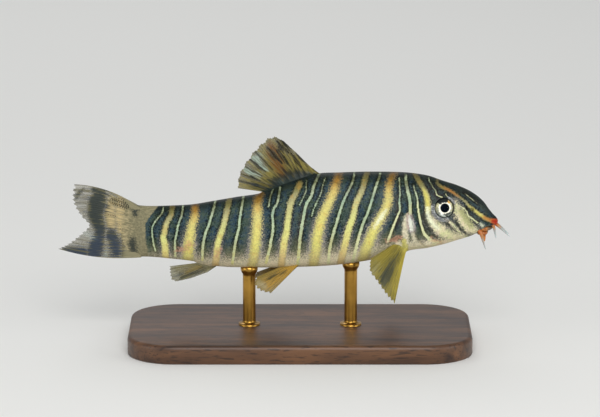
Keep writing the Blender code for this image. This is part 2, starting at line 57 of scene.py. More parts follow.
# Behind the snout, height of the back, height of the belly, half width.
STATIONS = np.array((
    (0.0, 8.85, 8.85, 0.0), (0.3, 9.54, 8.25, 1.05), (1.0, 10.25, 8.1, 1.75),
    (1.75, 11.2, 7.95, 2.15), (2.6, 12.4, 7.6, 2.5), (4.7, 14.2, 6.3, 3.1),
    (7.6, 15.6, 5.35, 3.65), (10.4, 16.5, 4.5, 4.05), (13.0, 17.4, 3.9, 4.45),
    (16.5, 17.95, 3.4, 4.75), (19.1, 18.1, 2.65, 4.85), (23.9, 18.15, 1.5, 4.95),
    (29.5, 18.0, 0.63, 4.95), (33.5, 17.8, 0.3, 4.85), (38.8, 16.3, 0.1, 4.65),
    (44.1, 14.1, 0.0, 4.25), (48.8, 13.3, 0.0, 3.75), (53.4, 12.45, 0.25, 3.2),
    (57.0, 11.8, 1.0, 2.75), (60.8, 11.5, 1.35, 2.35), (65.4, 11.3, 1.6, 1.7),
    (TAIL_ROOT, 11.5, 1.45, 1.15),
))
# Behind the snout, widest level as a share of the height, squareness below and above it.
SECTION = np.array((
    (0.0, 0.35, 2.2, 2.0), (4.7, 0.36, 2.5, 2.0), (13.0, 0.42, 2.5, 2.1),
    (25.0, 0.46, 2.3, 2.15), (TAIL_ROOT, 0.5, 2.0, 2.0),
))
TAIL_THINNED, TAIL_NARROWED = 0.985, 0.12
HEAD_END, HEAD_STEP, BODY_STEP, AROUND = 18.5, 0.115, 0.17, 206
EYE_PLACE = (10.1, 12.08)
NOSTRILS = ((5.0, 11.6), (5.9, 11.75))
SPINE_SLIT = ((9.6, 8.9), (8.4, 7.9), (7.0, 7.0))
JAW_LINE = ((3.3, 7.0), (4.6, 6.75), (5.6, 6.9))
SHOULDER = ((17.7, 8.6), (17.8, 5.2), (17.3, 3.0))
LATERAL_LINE = ((63.9, 6.1), (55.5, 5.7), (47.1, 6.0), (32.2, 8.3), (18.3, 9.9))


def smooth_curve(at, knots, values):
    """Monotone cubic through the knots: each tangent is the mean slope of its two sides,
    held to three times the lesser one, and none where the slope changes sign."""
    knots, values = np.asarray(knots, float), np.asarray(values, float)
    step = np.diff(knots)
    slope = np.diff(values) / step
    tangent = np.concatenate(([slope[0]], (slope[:-1] + slope[1:]) / 2, [slope[-1]]))
    tangent[1:-1][slope[:-1] * slope[1:] <= 0] = 0
    limit = 3 * np.minimum(np.abs(slope[:-1]), np.abs(slope[1:]))
    tangent[1:-1] = np.clip(tangent[1:-1], -limit, limit)
    at = np.clip(np.asarray(at, float), knots[0], knots[-1])
    k = np.clip(np.searchsorted(knots, at) - 1, 0, len(step) - 1)
    s = (at - knots[k]) / step[k]
    return (values[k] * (1 + 2 * s) * (1 - s) ** 2 + values[k + 1] * s * s * (3 - 2 * s)
            + step[k] * s * (1 - s) * (tangent[k] * (1 - s) - tangent[k + 1] * s))


def smooth_path(points, shares):
    """The same curve through points in space or on paper, which stand at even shares."""
    points = np.array(points, float)
    return np.stack([smooth_curve(shares, np.linspace(0, 1, len(points)), p) for p in points.T], -1)


def ease(value):
    """Nought below 0, one above 1, and 3 v squared less 2 v cubed between them."""
    value = np.clip(value, 0, 1)
    return value * value * (3 - 2 * value)


def ridge(distance, width, rise=1.0):
    """A round ridge along a line: rise * exp(-(distance / width) squared)."""
    return rise * np.exp(-(distance / width) ** 2)


def station(behind, column):
    """A body measure, read against the root of the distance, which rounds the snout."""
    return smooth_curve(np.sqrt(np.maximum(behind, 0)), np.sqrt(STATIONS[:, 0]),
                        STATIONS[:, column])


def bend(behind):
    """Sideways place of the midline: the rate times the squared distance past the start."""
    return BEND_RATE * np.maximum(behind - BEND_START, 0) ** 2


def place(behind, side, height):
    """Body measures to the model's own axes, in millimetres."""
    behind, side, height = np.broadcast_arrays(behind, side, height)
    return np.stack((SNOUT_X - behind, side + bend(behind), BELLY_Z + height), axis=-1)


def body_skin(behind, angle):
    """Side and height of the skin; angle 0 is the back and a quarter turn the left flank.

    A section is a superellipse: side = half width * sin ** p and height = widest level +
    reach * cos ** p, where p is 2 / squareness, which differs above and below that level.
    """
    top, low = station(behind, 1), station(behind, 2)
    share, below, above = (smooth_curve(behind, SECTION[:, 0], SECTION[:, k]) for k in (1, 2, 3))
    level = low + share * (top - low)
    upper = np.cos(angle) >= 0
    power = 2 / np.where(upper, above, below)
    side = station(behind, 3) * np.sign(np.sin(angle)) * np.abs(np.sin(angle)) ** power
    reach = np.where(upper, top - level, low - level)
    return side, level + reach * np.abs(np.cos(angle)) ** power


def on_right(behind, height):
    """The skin's point at that height of the right flank, and the way it faces."""
    angle = -np.linspace(0.3, 2.9, 1500)
    found = angle[np.argmin(np.abs(body_skin(behind, angle)[1] - height))]
    here, back, front, above, below = (
        place(d, *body_skin(d, a)) for d, a in (
            (behind, found), (behind + 0.4, found), (behind - 0.4, found),
            (behind, found + 0.05), (behind, found - 0.05)))
    out = np.cross(front - back, above - below)
    return here, out * -np.sign(out[1]) / np.linalg.norm(out)


def stroke(across, up, path, halves=(0.0, 0.0)):
    """Signed distance in millimetres to a painted line, positive on it: the half width at the
    nearest point of its path less the distance to that point."""
    path = np.reshape(path, (-1, 2))
    shares = np.linspace(0, 1, 4 * len(path) - 3)
    path = smooth_path(path, shares)
    half = np.interp(shares, np.linspace(0, 1, len(halves)), halves)
    best = np.full(np.shape(across), -FAR_OFF)
    for start, run, first, more in zip(path[:-1], np.diff(path, axis=0), half[:-1], np.diff(half)):
        share = ((across - start[0]) * run[0] + (up - start[1]) * run[1]) / (run @ run)
        share = np.clip(share, 0, 1)
        gap = np.hypot(across - start[0] - share * run[0], up - start[1] - share * run[1])
        best = np.maximum(best, first + more * share - gap)
    return best


def strokes(across, up, lines):
    """The nearest of several painted lines, each given as its half widths and its path."""
    return np.max([stroke(across, up, path, halves) for halves, path in lines], axis=0)


# The rings: even steps of the distance's root at the tip, then fine steps on the head and
# slightly wider ones on the body.
behind = np.concatenate((np.linspace(0, 1, 18)[1:] ** 2, np.arange(1.11, HEAD_END, HEAD_STEP),
                         np.arange(HEAD_END + 0.1, TAIL_FLESH, BODY_STEP)))[:, None]
angle = np.linspace(0, 2 * math.pi, AROUND, endpoint=False)[None, :]
side, height = body_skin(np.minimum(behind, TAIL_ROOT), angle)
tail_level = float(station(TAIL_ROOT, 1) + station(TAIL_ROOT, 2)) / 2
spent = np.clip((behind - FLESH_THINS) / (TAIL_FLESH - FLESH_THINS), 0, 1)
side = side * (1 - TAIL_THINNED * ease(spent))
height = height + (tail_level - height) * TAIL_NARROWED * spent ** 2
behind = np.broadcast_to(behind, side.shape)
skin = place(behind, side, height)
outward = np.cross(np.roll(skin, -1, axis=1) - np.roll(skin, 1, axis=1), np.gradient(skin, axis=0))
outward /= np.linalg.norm(outward, axis=-1)[..., None]
outward *= np.sign(np.sum(outward * (skin - place(behind, 0, tail_level)), axis=-1))[..., None]

# Both flanks are read as the right one, so that the left mirrors it.
folded = skin.copy()
folded[..., 1] = bend(behind) - np.abs(side)
turned = np.minimum(angle, 2 * math.pi - angle) + 0 * behind     # 0 at the back, pi at the belly
sight = height * math.cos(SIGHT_DOWN) + folded[..., 1] * math.sin(SIGHT_DOWN)

# Relief of the eye: a free fold of skin round a socket, and softer folds behind and below it.
LID_RADIUS, LID_RISE, SOCKET_RADIUS, SOCKET_DEPTH, SKIN_EDGE = 2.06, 0.2, 1.9, 1.7, 0.22
FOLD_WIDTH, FOLDS = 0.13, ((2.4, 0.07), (2.72, 0.05))     # each as its radius and rise
eye_middle, eye_out = on_right(*EYE_PLACE)
eye_across = np.cross((0.0, 0.0, 1.0), eye_out)
eye_across /= np.linalg.norm(eye_across)
eye_up = np.cross(eye_out, eye_across)
eye_x, eye_y = (folded - eye_middle) @ eye_across, (folded - eye_middle) @ eye_up
eye_reach = np.hypot(eye_x, eye_y) + FAR_OFF * (np.abs(side) < 1)
# One below and behind the eye, nought above and before it.
eye_low_back = ease(0.5 - (eye_x + eye_y) / np.maximum(eye_reach, 0.1) / 1.6)
relief = ridge(eye_reach - LID_RADIUS, SKIN_EDGE, LID_RISE)
relief -= SOCKET_DEPTH * ease((SOCKET_RADIUS - eye_reach) / SKIN_EDGE)
for radius, rise in FOLDS:
    relief += eye_low_back * ridge(eye_reach - radius, FOLD_WIDTH, rise)

# Relief of the nostrils: a short tube in front and a plain hole close behind it.
NOSTRIL_TUBES, NOSTRIL_RADIUS, NOSTRIL_DEPTH, NOSTRIL_WALL = (0.3, 0.06), 0.44, 0.5, 0.08
nostril_gaps = [np.linalg.norm(folded - on_right(*spot)[0], axis=-1) for spot in NOSTRILS]
for gap, tube in zip(nostril_gaps, NOSTRIL_TUBES):
    relief += ridge(gap - NOSTRIL_RADIUS, FOLD_WIDTH, tube)
    relief -= NOSTRIL_DEPTH * ease((NOSTRIL_RADIUS - NOSTRIL_WALL - gap) / (2 * NOSTRIL_WALL))

# Relief of the gill cover: it swells towards its free edge, which is bowed, and drops there into
# the opening. It lies between a high and a low turn about the body, and runs out past them.
GILL_EDGE, GILL_BOW, GILL_RISE, GILL_HIGH, GILL_LOW = 14.9, 1.3, 0.22, 0.95, 2.75
OPENING_BEHIND, OPENING_GROOVE = 0.12, (0.2, 0.2)
gill = behind - (GILL_EDGE + np.cos(turned) - GILL_BOW * np.cos(2 * turned))
gill_seen = ease((turned - GILL_HIGH) / 0.35) * ease((GILL_LOW - turned) / 0.4)
relief += gill_seen * GILL_RISE * ease((gill + 3.6) / 3.2) * ease(-gill / SKIN_EDGE)
relief -= gill_seen * ridge(gill - OPENING_BEHIND, *OPENING_GROOVE)

# Relief of the grooves, each as its width and depth: the slit of the folded spine with a lip
# beside it, the lateral line, and the jaw line, which is there on the lower half only.
SLIT, SLIT_LIP, LIP_BESIDE = (0.15, 0.17), (0.14, 0.05), 0.32
LINE_GROOVE, JAW_GROOVE, JAW_BELOW = (0.16, 0.025), (0.16, 0.12), 1.4
slit = stroke(behind, height, SPINE_SLIT)
relief += (ridge(slit + LIP_BESIDE, *SLIT_LIP) - ridge(slit, *SLIT)) * (np.abs(side) > 1)
relief -= ridge(stroke(behind, sight, LATERAL_LINE), *LINE_GROOVE)
relief -= ridge(stroke(behind, height, JAW_LINE), *JAW_GROOVE) * (turned > JAW_BELOW)

# Relief of the fin roots: the shoulder before the pectoral fin, and the sheaths of the dorsal
# and the anal fin from start to end, over the back or under the belly.
SHEATHS, SHEATH, SHEATH_END = ((33.4, 44.6, True), (52.6, 56.8, False)), (0.75, 0.2), 0.8
SHOULDER_RIDGE = (0.5, 0.16)
relief += ridge(stroke(behind, sight, SHOULDER), *SHOULDER_RIDGE)
for start, end, over in SHEATHS:
    span = ease((behind - start) / SHEATH_END) * ease((end - behind) / SHEATH_END)
    relief += span * ridge(side, *SHEATH) * ((np.cos(angle) > 0) == over)

# Relief of the flesh: the blocks of muscle show faintly as bent bands behind the head.
MUSCLE_BAND, MUSCLE_RISE, MUSCLE_LEAN, MUSCLE_FROM = 1.9, 0.012, 0.55, 18
blocks = behind + MUSCLE_LEAN * np.abs(height - (station(behind, 1) + station(behind, 2)) / 2)
relief += MUSCLE_RISE * np.sin(blocks * 2 * math.pi / MUSCLE_BAND) * (
    ease((behind - MUSCLE_FROM) / 4) * np.abs(np.sin(angle)))
skin = skin + outward * relief[..., None]


def closed_surface(name, loops, first, last):
    """Mesh of loops that wrap round, each joined to the next by quads, with a fan to a pole
    at each end. Its faces are turned outwards by the sign of its volume."""
    count, around = loops.shape[:2]
    index = 1 + np.arange(count * around).reshape(count, around)
    after = np.roll(index, -1, axis=1)
    quads = np.stack((index[:-1], after[:-1], after[1:], index[1:]), -1).reshape(-1, 4)
    end = count * around + 1
    fans = np.concatenate((np.stack((0 * index[0], after[0], index[0]), -1),
                           np.stack((0 * index[0] + end, index[-1], after[-1]), -1)))
    points = np.concatenate(([first], loops.reshape(-1, 3), [last]))
    return outward_mesh(name, points, quads, fans)


def outward_mesh(name, points, quads, triangles):
    """Mesh in metres from points in millimetres. A closed mesh whose volume, the sum of
    a . (b x c) / 6 over its triangles, comes out negative has its faces turned round."""
    mesh = bpy.data.meshes.new(name)
    mesh.from_pydata((points * MM).tolist(), [], quads.tolist() + triangles.tolist())
    corners = np.concatenate((quads[:, (0, 1, 2)], quads[:, (0, 2, 3)], triangles.reshape(-1, 3)))
    a, b, c = (points[corners[:, k]] for k in range(3))
    if np.sum(a * np.cross(b, c)) < 0:
        mesh.flip_normals()
    mesh.shade_smooth()
    return mesh


def carry(mesh, fields):
    """Gives each point of a mesh the named numbers that its material reads, three to an
    attribute, of which the last is filled up with zeros. The poles of a closed surface take
    theirs from the ring next to them."""
    names = list(fields)
    values = [v.ravel() for v in np.broadcast_arrays(*fields.values())]
    poles = (len(mesh.vertices) - values[0].size) // 2
    values = [np.pad(v, poles, mode="edge") for v in values] + [np.zeros(len(mesh.vertices))] * 2
    for k in range(0, len(names), 3):
        made = mesh.attributes.new("_".join(names[k:k + 3]), "FLOAT_VECTOR", "POINT")
        made.data.foreach_set("vector", np.stack(values[k:k + 3], -1).astype(np.float32).ravel())


def fit(name, mesh, material, slot, *solids):
    """Puts a finished mesh on the model in place of the solids that it stands for."""
    made = bpy.data.objects.new(name, mesh)
    bpy.context.scene.collection.objects.link(made)
    mesh.materials.append(material)
    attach(made, "root")
    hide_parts(*solids)


# Markings of the right flank, each as its half widths from the top down, which are how far its
# colour reaches to each side, and its path: behind and sight height of one point after another.
MARKINGS = {
    # Thin greenish lines, clear yellow bars, and wide yellow bars with speckled sides.
    "thin": (
        ((0.16, 0.18), (62.4, 11.4, 62.6, 10.1, 63.2, 9.4, 64.4, 7.6, 64.5, 6.6, 64.2, 4.2,
            63.9, 3.1)),
        ((0.2, 0.22), (58.7, 11.6, 58.9, 9.9, 59.6, 7.8, 59.8, 6.7, 60.2, 4.6, 60.2, 2.0)),
        ((0.24, 0.28), (52.6, 12.6, 53.1, 10.4, 54.0, 7.5, 54.5, 6.3, 55.0, 3.8, 55.1, 1.4)),
        ((0.24, 0.28), (47.4, 13.4, 48.1, 8.7, 48.2, 7.5, 48.8, 5.1, 49.5, 0.7)),
        ((0.15, 0.17), (41.7, 14.9, 42.4, 13.2, 42.7, 11.3)),
        ((0.22, 0.3), (40.6, 14.8, 41.1, 12.0, 41.7, 11.0, 42.0, 9.7, 41.9, 8.0, 42.0, 6.3, 42.3, 4.9,
            42.5, 3.6, 43.2, 0.9)),
        ((0.11, 0.14), (35.7, 16.2, 35.8, 14.3, 37.0, 11.6)),
        ((0.26, 0.32), (33.3, 17.4, 34.3, 15.2, 34.8, 13.3, 35.7, 11.8, 36.2, 9.7, 36.9, 5.2,
            37.3, 0.6)),
        ((0.12, 0.15), (32.2, 16.6, 32.7, 15.2, 33.1, 13.5, 34.3, 11.0, 34.7, 9.5)),
        ((0.2, 0.25, 0.32), (26.7, 18.2, 27.2, 15.8, 28.6, 12.9, 29.5, 10.4, 31.4, 3.4, 31.6, 0.8)),
        ((0.21, 0.24, 0.32), (21.8, 18.4, 22.2, 16.7, 22.7, 15.4, 24.3, 10.3, 25.5, 7.4,
            27.2, 0.7)),
        ((0.15, 0.18, 0.28), (18.5, 16.6, 18.4, 13.7, 18.5, 12.2, 18.4, 10.8, 18.8, 9.7, 19.7, 7.4,
            20.6, 4.9)),
        ((0.26, 0.32, 0.3), (17.3, 17.3, 17.2, 15.5, 16.5, 11.8, 16.5, 9.9)),
        ((0.14, 0.17, 0.25, 0.33, 0.24), (15.9, 15.3, 15.6, 14.2, 15.2, 12.9, 15.1, 11.2, 14.7, 8.9,
            14.1, 6.8, 13.6, 6.0, 12.7, 5.2, 11.8, 4.8, 10.8, 4.6)),
        ((0.13, 0.14), (13.0, 16.7, 12.9, 16.0, 12.5, 15.4, 12.2, 14.8, 11.8, 14.3, 11.6, 13.6,
            11.1, 13.2, 10.6, 13.0)),
        ((0.12, 0.1), (9.9, 13.7, 9.6, 13.1)),
        ((0.02, 0.09, 0.02), (6.4, 13.8, 5.2, 12.9, 4.0, 11.9)),
        ((0.13, 0.18), (7.5, 11.6, 6.9, 11.2, 6.1, 10.6, 5.7, 9.7, 5.1, 9.2, 3.9, 8.3)),
        ((0.12, 0.15), (9.0, 8.4, 8.3, 7.7, 7.7, 6.9, 7.0, 6.2))),
    "yellow": (
        ((0.42, 0.44, 0.65), (60.6, 11.8, 60.9, 9.9, 61.5, 8.8, 61.9, 7.8, 62.2, 6.3, 62.4, 5.5,
            62.1, 4.2, 62.0, 1.4)),
        ((0.46, 0.5, 0.65), (50.0, 13.2, 50.5, 10.4, 51.2, 7.5, 52.0, 5.1, 52.3, 3.7, 52.4, 2.3,
            52.7, 0.4)),
        ((0.5, 0.52, 0.65), (36.9, 15.6, 37.8, 13.6, 38.6, 12.0, 39.2, 8.3, 39.4, 6.5, 39.8, 4.9,
            40.4, 0.3)),
        ((0.44, 0.5, 0.65), (24.2, 18.4, 24.9, 16.2, 25.3, 14.7, 26.6, 11.7, 26.9, 10.2, 27.3, 8.7,
            27.8, 7.4, 28.5, 4.5, 29.4, 0.5)),
        ((0.34, 0.5, 0.55), (15.8, 17.9, 15.4, 17.0, 14.1, 14.8, 13.6, 13.8, 13.3, 12.7, 13.2, 10.5,
            13.2, 9.4, 12.7, 8.4)),
        ((0.16, 0.28, 0.15, 0.28, 0.34), (11.3, 16.6, 11.4, 15.7, 10.9, 15.2, 10.3, 14.8, 9.1, 14.3,
            7.8, 13.4, 6.4, 12.4, 5.7, 11.6, 4.9, 10.9, 4.0, 10.2, 2.9, 9.4, 1.9, 8.9, 0.9, 8.6))),
    "wide": (
        ((0.5, 0.7, 0.9), (56.4, 12.2, 56.5, 9.5, 56.9, 8.1, 57.3, 6.3, 57.5, 5.0, 57.7, 3.2,
            57.9, 1.0)),
        ((0.6, 0.75, 0.8), (44.2, 14.4, 44.8, 11.8, 44.8, 9.9, 45.0, 6.0, 45.4, 2.1, 45.8, 0.3)),
        ((0.55, 0.75, 0.85), (29.5, 18.2, 30.5, 14.8, 31.0, 13.2, 32.6, 9.7, 33.2, 8.0, 33.8, 4.9,
            33.9, 3.4, 34.4, 0.5)),
        ((0.4, 0.6, 0.75, 0.88), (18.7, 18.5, 19.8, 17.1, 20.3, 15.5, 20.5, 14.0, 20.6, 12.4,
            21.0, 11.0, 21.8, 9.6, 23.3, 6.7, 23.9, 5.3, 24.4, 3.9, 25.3, 1.2))),
    # Cream between the lines of the cheek and along the throat, greener in the first of them.
    "cream": (
        ((0.5, 0.72, 0.85, 0.72), (7.9, 11.2, 7.3, 9.9, 6.5, 8.4, 5.7, 7.4, 4.5, 6.8)),
        ((0.4, 0.75, 1.0, 0.85, 0.5), (12.9, 9.4, 12.1, 8.1, 10.5, 6.7, 8.6, 5.7, 6.6, 5.6)),
        ((0.1, 0.2, -0.1), (8.0, 12.2, 8.0, 10.4, 8.2, 9.2)),
        ((-0.1, 0.12, 0.12, -0.15), (9.9, 8.8, 8.8, 8.0, 7.8, 7.2, 6.7, 6.3)),
        ((0.8, 1.1, 0.9), (17.2, 3.4, 13.5, 3.9, 10.5, 4.2, 6.5, 5.3))),
    "cheek": (((0.5, 0.6, 0.3), (7.0, 10.4, 6.0, 8.8, 5.0, 7.6)),),
    # Stretches of the yellow bars that are orange, and those that stay lemon yellow.
    "orange": (
        ((0.3, 0.7), (2.7, 9.3, 0.6, 8.5)),
        ((0.1, 0.3, 0.1), (10.0, 14.7, 9.0, 14.2, 7.4, 13.1))),
    "lemon": (
        ((0.05, 0.2, 0.26, 0.28, 0.2), (5.6, 11.5, 4.9, 10.9, 4.0, 10.2, 2.9, 9.4, 2.1, 9.0)),
        ((0.05, 0.4, 0.4, 0.1), (14.1, 14.6, 13.6, 13.4, 13.3, 12.0, 13.2, 10.8))),
    # The red snout tip, a painted highlight on the edge of the gill opening, and painted sheen on the
    # cheek and the shoulder bar, with a whitish spot by the mouth.
    "red": (((0.2, 0.4), (1.0, 8.6, 0.2, 8.4)),),
    # Painted highlight on the edge of the gill opening.
    "white": (((0.1, 0.36, 0.26), (16.6, 9.4, 16.4, 8.3, 16.2, 7.0)),),
    # Painted sheen on the cheek and on the shoulder bar, and a whitish spot by the mouth.
    "glow": (
        ((0.2, 0.36, 0.2), (13.3, 11.0, 13.1, 9.3, 12.2, 8.1, 11.2, 7.2)),
        ((0.05, 0.36, 0.05), (20.9, 10.8, 22.0, 9.2, 23.2, 7.4)),
        ((0.16, 0.2), (3.25, 7.95, 2.95, 7.8))),
    # Bare skin behind the gill opening, the yellow column before the pectoral fin, and blush with a
    # painted shadow in the gill opening.
    "flesh": (
        ((0.3, 0.5, 0.55), (17.3, 9.2, 17.4, 7.4, 17.2, 4.6)),
        ((0.1, 0.3), (16.9, 10.0, 16.9, 8.6)),
        ((0.3, 0.4), (16.0, 6.4, 15.5, 4.8)),
        ((0.1, 0.4, 0.4), (12.6, 4.7, 14.4, 4.3, 18.8, 4.4))),
    "column": (((0.42, 0.6), (17.6, 5.0, 17.1, 2.3)),),
    "blush": (
        ((0.1, 0.26, 0.2), (12.6, 5.6, 11.8, 5.0, 10.4, 4.5)),
        ((0.3, 0.5, 0.3), (18.4, 5.6, 19.2, 5.2, 20.6, 5.0)),
        # Painted shadow: a dark pink line in the gill opening, behind the highlight on its edge.
        ((0.05, 0.16, 0.1), (16.9, 9.7, 16.85, 8.6, 16.8, 7.2)),
        ((0.3, 0.5, 0.5), (60.0, 3.2, 58.9, 3.2, 57.4, 4.2)),
        ((0.2, 0.4, 0.2), (51.8, 3.8, 52.2, 2.9, 52.6, 1.8))),
    # Dark strokes on the cheek, violet dusk on the head and flank, blotches at the tail root.
    "dark": (
        ((0.12, 0.2, 0.18, 0.04), (10.4, 8.5, 9.5, 8.0, 8.6, 7.2, 7.9, 6.5)),
        ((0.1, 0.24, 0.26, 0.06), (8.2, 8.9, 7.6, 7.9, 6.9, 7.1, 6.1, 6.2)),
        ((0.5, 0.42, 0.26, 0.16, 0.06), (13.9, 9.6, 13.4, 8.3, 12.8, 7.0, 12.0, 5.9, 10.9, 5.1))),
    "dusk": (
        ((1.0, 1.5, 1.3), (13.6, 15.5, 11.6, 13.2, 12.6, 10.0)),
        ((0.7, 0.8, 0.6), (9.4, 14.6, 7.8, 11.4, 4.0, 8.9)),
        ((0.9, 1.0, 0.7), (9.0, 16.2, 5.2, 13.6, 2.6, 10.9)),
        ((0.5, 0.4), (14.3, 8.4, 12.2, 5.6)),
        ((0.6, 0.7), (19.3, 13.0, 18.4, 7.6)),
        ((0.6, 0.7), (36.0, 11.0, 37.8, 4.0)),
        ((0.5, 0.8), (58.5, 7.0, 58.8, 3.0))),
    "blotch": (
        ((0.3, 0.5, 0.35), (67.3, 11.9, 67.6, 10.8, 67.7, 9.9)),
        ((0.4, 0.75, 0.55), (68.2, 5.2, 68.3, 4.1, 68.0, 2.9))),
    "line": (((0.09, 0.09), LATERAL_LINE),),
}
# Where the flank turns pale and where the dark skin ends at the tail root, as (behind, sight
# height), and from where the flesh there is streaked.
PALE_BELOW = ((0, 5.2), (14, 4.7), (20, 4.5), (28, 3.4), (36, 2.7), (45, 2.2), (52, 1.9), (60, 2.3),
              (68, 2.3))
DARK_END = ((65.4, 3.2), (65.7, 4.6), (65.8, 8.1), (64.9, 9.5), (63.5, 11.3))
RAYS_FROM = 69.0
# Radii of the painted shade in the nostril hole and in the eye socket, and of the painted shine on
# the folds. Then how much wider a bar's grey halo grows towards the belly, and how far back the thin
# lines are cream at the belly, and less by the second measure at the back.
NOSTRIL_SHADE, SOCKET_SHADE, SHINES = 0.26, 1.84, (1.86, 2.12, 2.44)
HALO_GROWTH, CREAM_UNTIL, CREAM_LEAN = 1.9, 36.5, 30

marks = {name: strokes(behind, sight, lines) for name, lines in MARKINGS.items()}
# Painted shade: the nostril holes are darkened, along with the dark strokes of the cheek.
marks["dark"] = np.maximum(marks["dark"], NOSTRIL_SHADE - np.min(nostril_gaps, axis=0))
high = sight / (station(behind, 1) * math.cos(SIGHT_DOWN))
fold_gap = np.min([np.abs(eye_reach - radius) for radius in SHINES], axis=0)
marks.update({
    "high": high,
    "pale": np.interp(behind, *np.transpose(PALE_BELOW)) - sight,
    "apart": -np.max([marks["thin"], marks["yellow"], marks["wide"] - 0.5, marks["cream"]], axis=0),
    "halo": np.maximum(marks["wide"], marks["yellow"] - 0.5) + HALO_GROWTH * (0.5 - high),
    # Painted shade: the skin sunk in the socket round the eye is darkened, a little less far out below
    # and behind it.
    "socket": SOCKET_SHADE - eye_reach - SKIN_EDGE * eye_low_back,
    # The shine on the folds: over the eye in front, and on three folds behind and below it.
    "lilac": np.maximum(
        0.15 - np.abs(eye_reach - LID_RADIUS) - 0.3 * np.maximum(0.9 - eye_x, 0)
        - 0.3 * np.maximum(0.9 - eye_y, 0), 0.08 - fold_gap - 1.5 * (1 - eye_low_back)),
    "early": CREAM_UNTIL - behind - CREAM_LEAN * high,
    "root": behind - np.interp(sight, *np.transpose(DARK_END)[::-1]),
    "rayed": behind - RAYS_FROM,
})
skin_mesh = closed_surface("loach_skin", skin, place(0.0, 0.0, 8.85),
                           place(TAIL_FLESH, 0.0, tail_level))
carry(skin_mesh, marks)


def paint(code):
    """An sRGB hex colour as the linear colour that a shader takes."""
    parts = [int(code[k:k + 2], 16) / 255 for k in (1, 3, 5)]
    return (*(p / 12.92 if p < 0.04045 else ((p + 0.055) / 1.055) ** 2.4 for p in parts), 1.0)


def add(tree, kind, sockets, out=0, stops=(), **settings):
    """Adds a node and gives its output out. Its sockets, by name or in a row from the first,
    get the number or colour that they hold or the output that they follow, and a colour ramp
    its stops."""
    made = tree.nodes.new("ShaderNode" + kind)
    for name, value in settings.items():
        setattr(made, name, value)
    for position, colour in stops[1:-1]:
        made.color_ramp.elements.new(position).color = paint(colour)
    for end in (0, -1) if stops else ():
        made.color_ramp.elements[end].position = stops[end][0]
        made.color_ramp.elements[end].color = paint(stops[end][1])
    named = sockets if isinstance(sockets, dict) else dict(enumerate(sockets))
    for socket, value in named.items():
        if isinstance(value, bpy.types.NodeSocket):
            tree.links.new(value, made.inputs[socket])
        else:
            made.inputs[socket].default_value = value
    return made.outputs[out]


def finish(name, sockets):
    """A material with one principled shader, whose sockets here are the same all over it. It
    comes with its tree and with the shader's sockets."""
    made = bpy.data.materials.new(name)
    made.use_nodes = True
    shader = made.node_tree.nodes["Principled BSDF"]
    for socket, value in sockets.items():
        shader.inputs[socket].default_value = value
    return made, made.node_tree, shader.inputs


def dress(tree, shader, colour, height, depth, strength, **settings):
    """Gives a shader its colour, and a relief that many millimetres deep from a height field."""
    bump = add(tree, "Bump", {"Strength": strength, "Distance": depth * MM, "Height": height},
               **settings)
    tree.links.new(colour, shader["Base Color"])
    tree.links.new(bump, shader["Normal"])


def carried(tree, names):
    """The named numbers that a mesh carries, as outputs."""
    names, found = list(names), {}
    for k in range(0, len(names), 3):
        trio = names[k:k + 3]
        read = add(tree, "Attribute", {}, "Vector", attribute_name="_".join(trio))
        found.update(zip(trio, add(tree, "SeparateXYZ", (read,)).node.outputs))
    return found


def tone(tree, look):
    """The colour of a look, which is a hex colour, a colour made already, or a share and the
    two looks that it wanders between."""
    if isinstance(look, tuple):
        share, first, second = look
        return add(tree, "Mix", {0: share, 6: tone(tree, first), 7: tone(tree, second)}, 2,
                   data_type="RGBA")
    return paint(look) if isinstance(look, str) else look


def coat(tree, under, look, field, reach, soft, dense=1.0, ragged=0.0, grain=None):
    """Lays a look over what is under it where field + reach + ragged * (grain - 0.5) is above
    0, with an edge that fades over twice soft. Fields and edges are in millimetres."""
    if ragged:
        field = add(tree, "Math", (grain, ragged, field), operation="MULTIPLY_ADD")
    edge = ragged / 2 - reach
    shown = add(tree, "MapRange", (field, edge - soft, edge + soft, 0.0, dense),
                interpolation_type="SMOOTHSTEP")
    return tone(tree, (shown, under, look))


def coats(tree, under, at, grain, rows):
    """Lays coats over one another. A row is a look, its field, how far past the field's edge it
    reaches and how soft that edge is. How dense the coat is, how ragged its edge and by which
    grain may follow."""
    for look, name, reach, soft, *more in rows:
        rest = (*more, *(1.0, 0.0, grain)[len(more):])
        under = coat(tree, under, look, at[name], reach, soft, *rest)
    return under


# Fish skin, wet and unvarnished: satin, with a fine beaded grain of scales and pigment cells
# that stipple every edge. Both are smaller in life, and drawn as fine as the render can show.
SCALE_BEAD, PIGMENT_CELL = 0.3, 0.25
skin_finish, tree, shader = finish("scaled_fish_skin", {
    "Roughness": 0.42, "IOR": 1.38, "Specular IOR Level": 0.14, "Subsurface Weight": 0.04,
    "Subsurface Scale": 0.5 * MM, "Subsurface Radius": (1.0, 0.6, 0.45)})
where = add(tree, "TexCoord", {}, "Object")
cells, patchy, cloud = (
    add(tree, "TexNoise", {"Vector": where, "Scale": 1 / (size * MM), "Detail": detail,
                           "Roughness": 0.6}) for size, detail in ((0.5, 2.0), (1.4, 3.0), (5.0, 2.0)))
beads, dots = (add(tree, "TexVoronoi", {"Vector": where, "Scale": 1 / (size * MM)})
               for size in (SCALE_BEAD, PIGMENT_CELL))
dot_size = add(tree, "Math", (dots.node.outputs["Color"], 0.35, -0.1), operation="MULTIPLY_ADD")
stipple = add(tree, "Math", (dots, 0.95, dot_size), operation="MULTIPLY_ADD")
shimmer, tint = (add(tree, "MapRange", (grain, 0.35, 0.65)) for grain in (cells, patchy))
along_rays = add(tree, "Mapping", {0: where, 3: (0.04, 1.0, 1.0)})
streaks = add(tree, "TexNoise", {"Vector": along_rays, "Scale": 1 / (0.3 * MM)})
streaks = add(tree, "MapRange", (streaks, 0.36, 0.64))
at = carried(tree, marks)
at["tint"] = tint

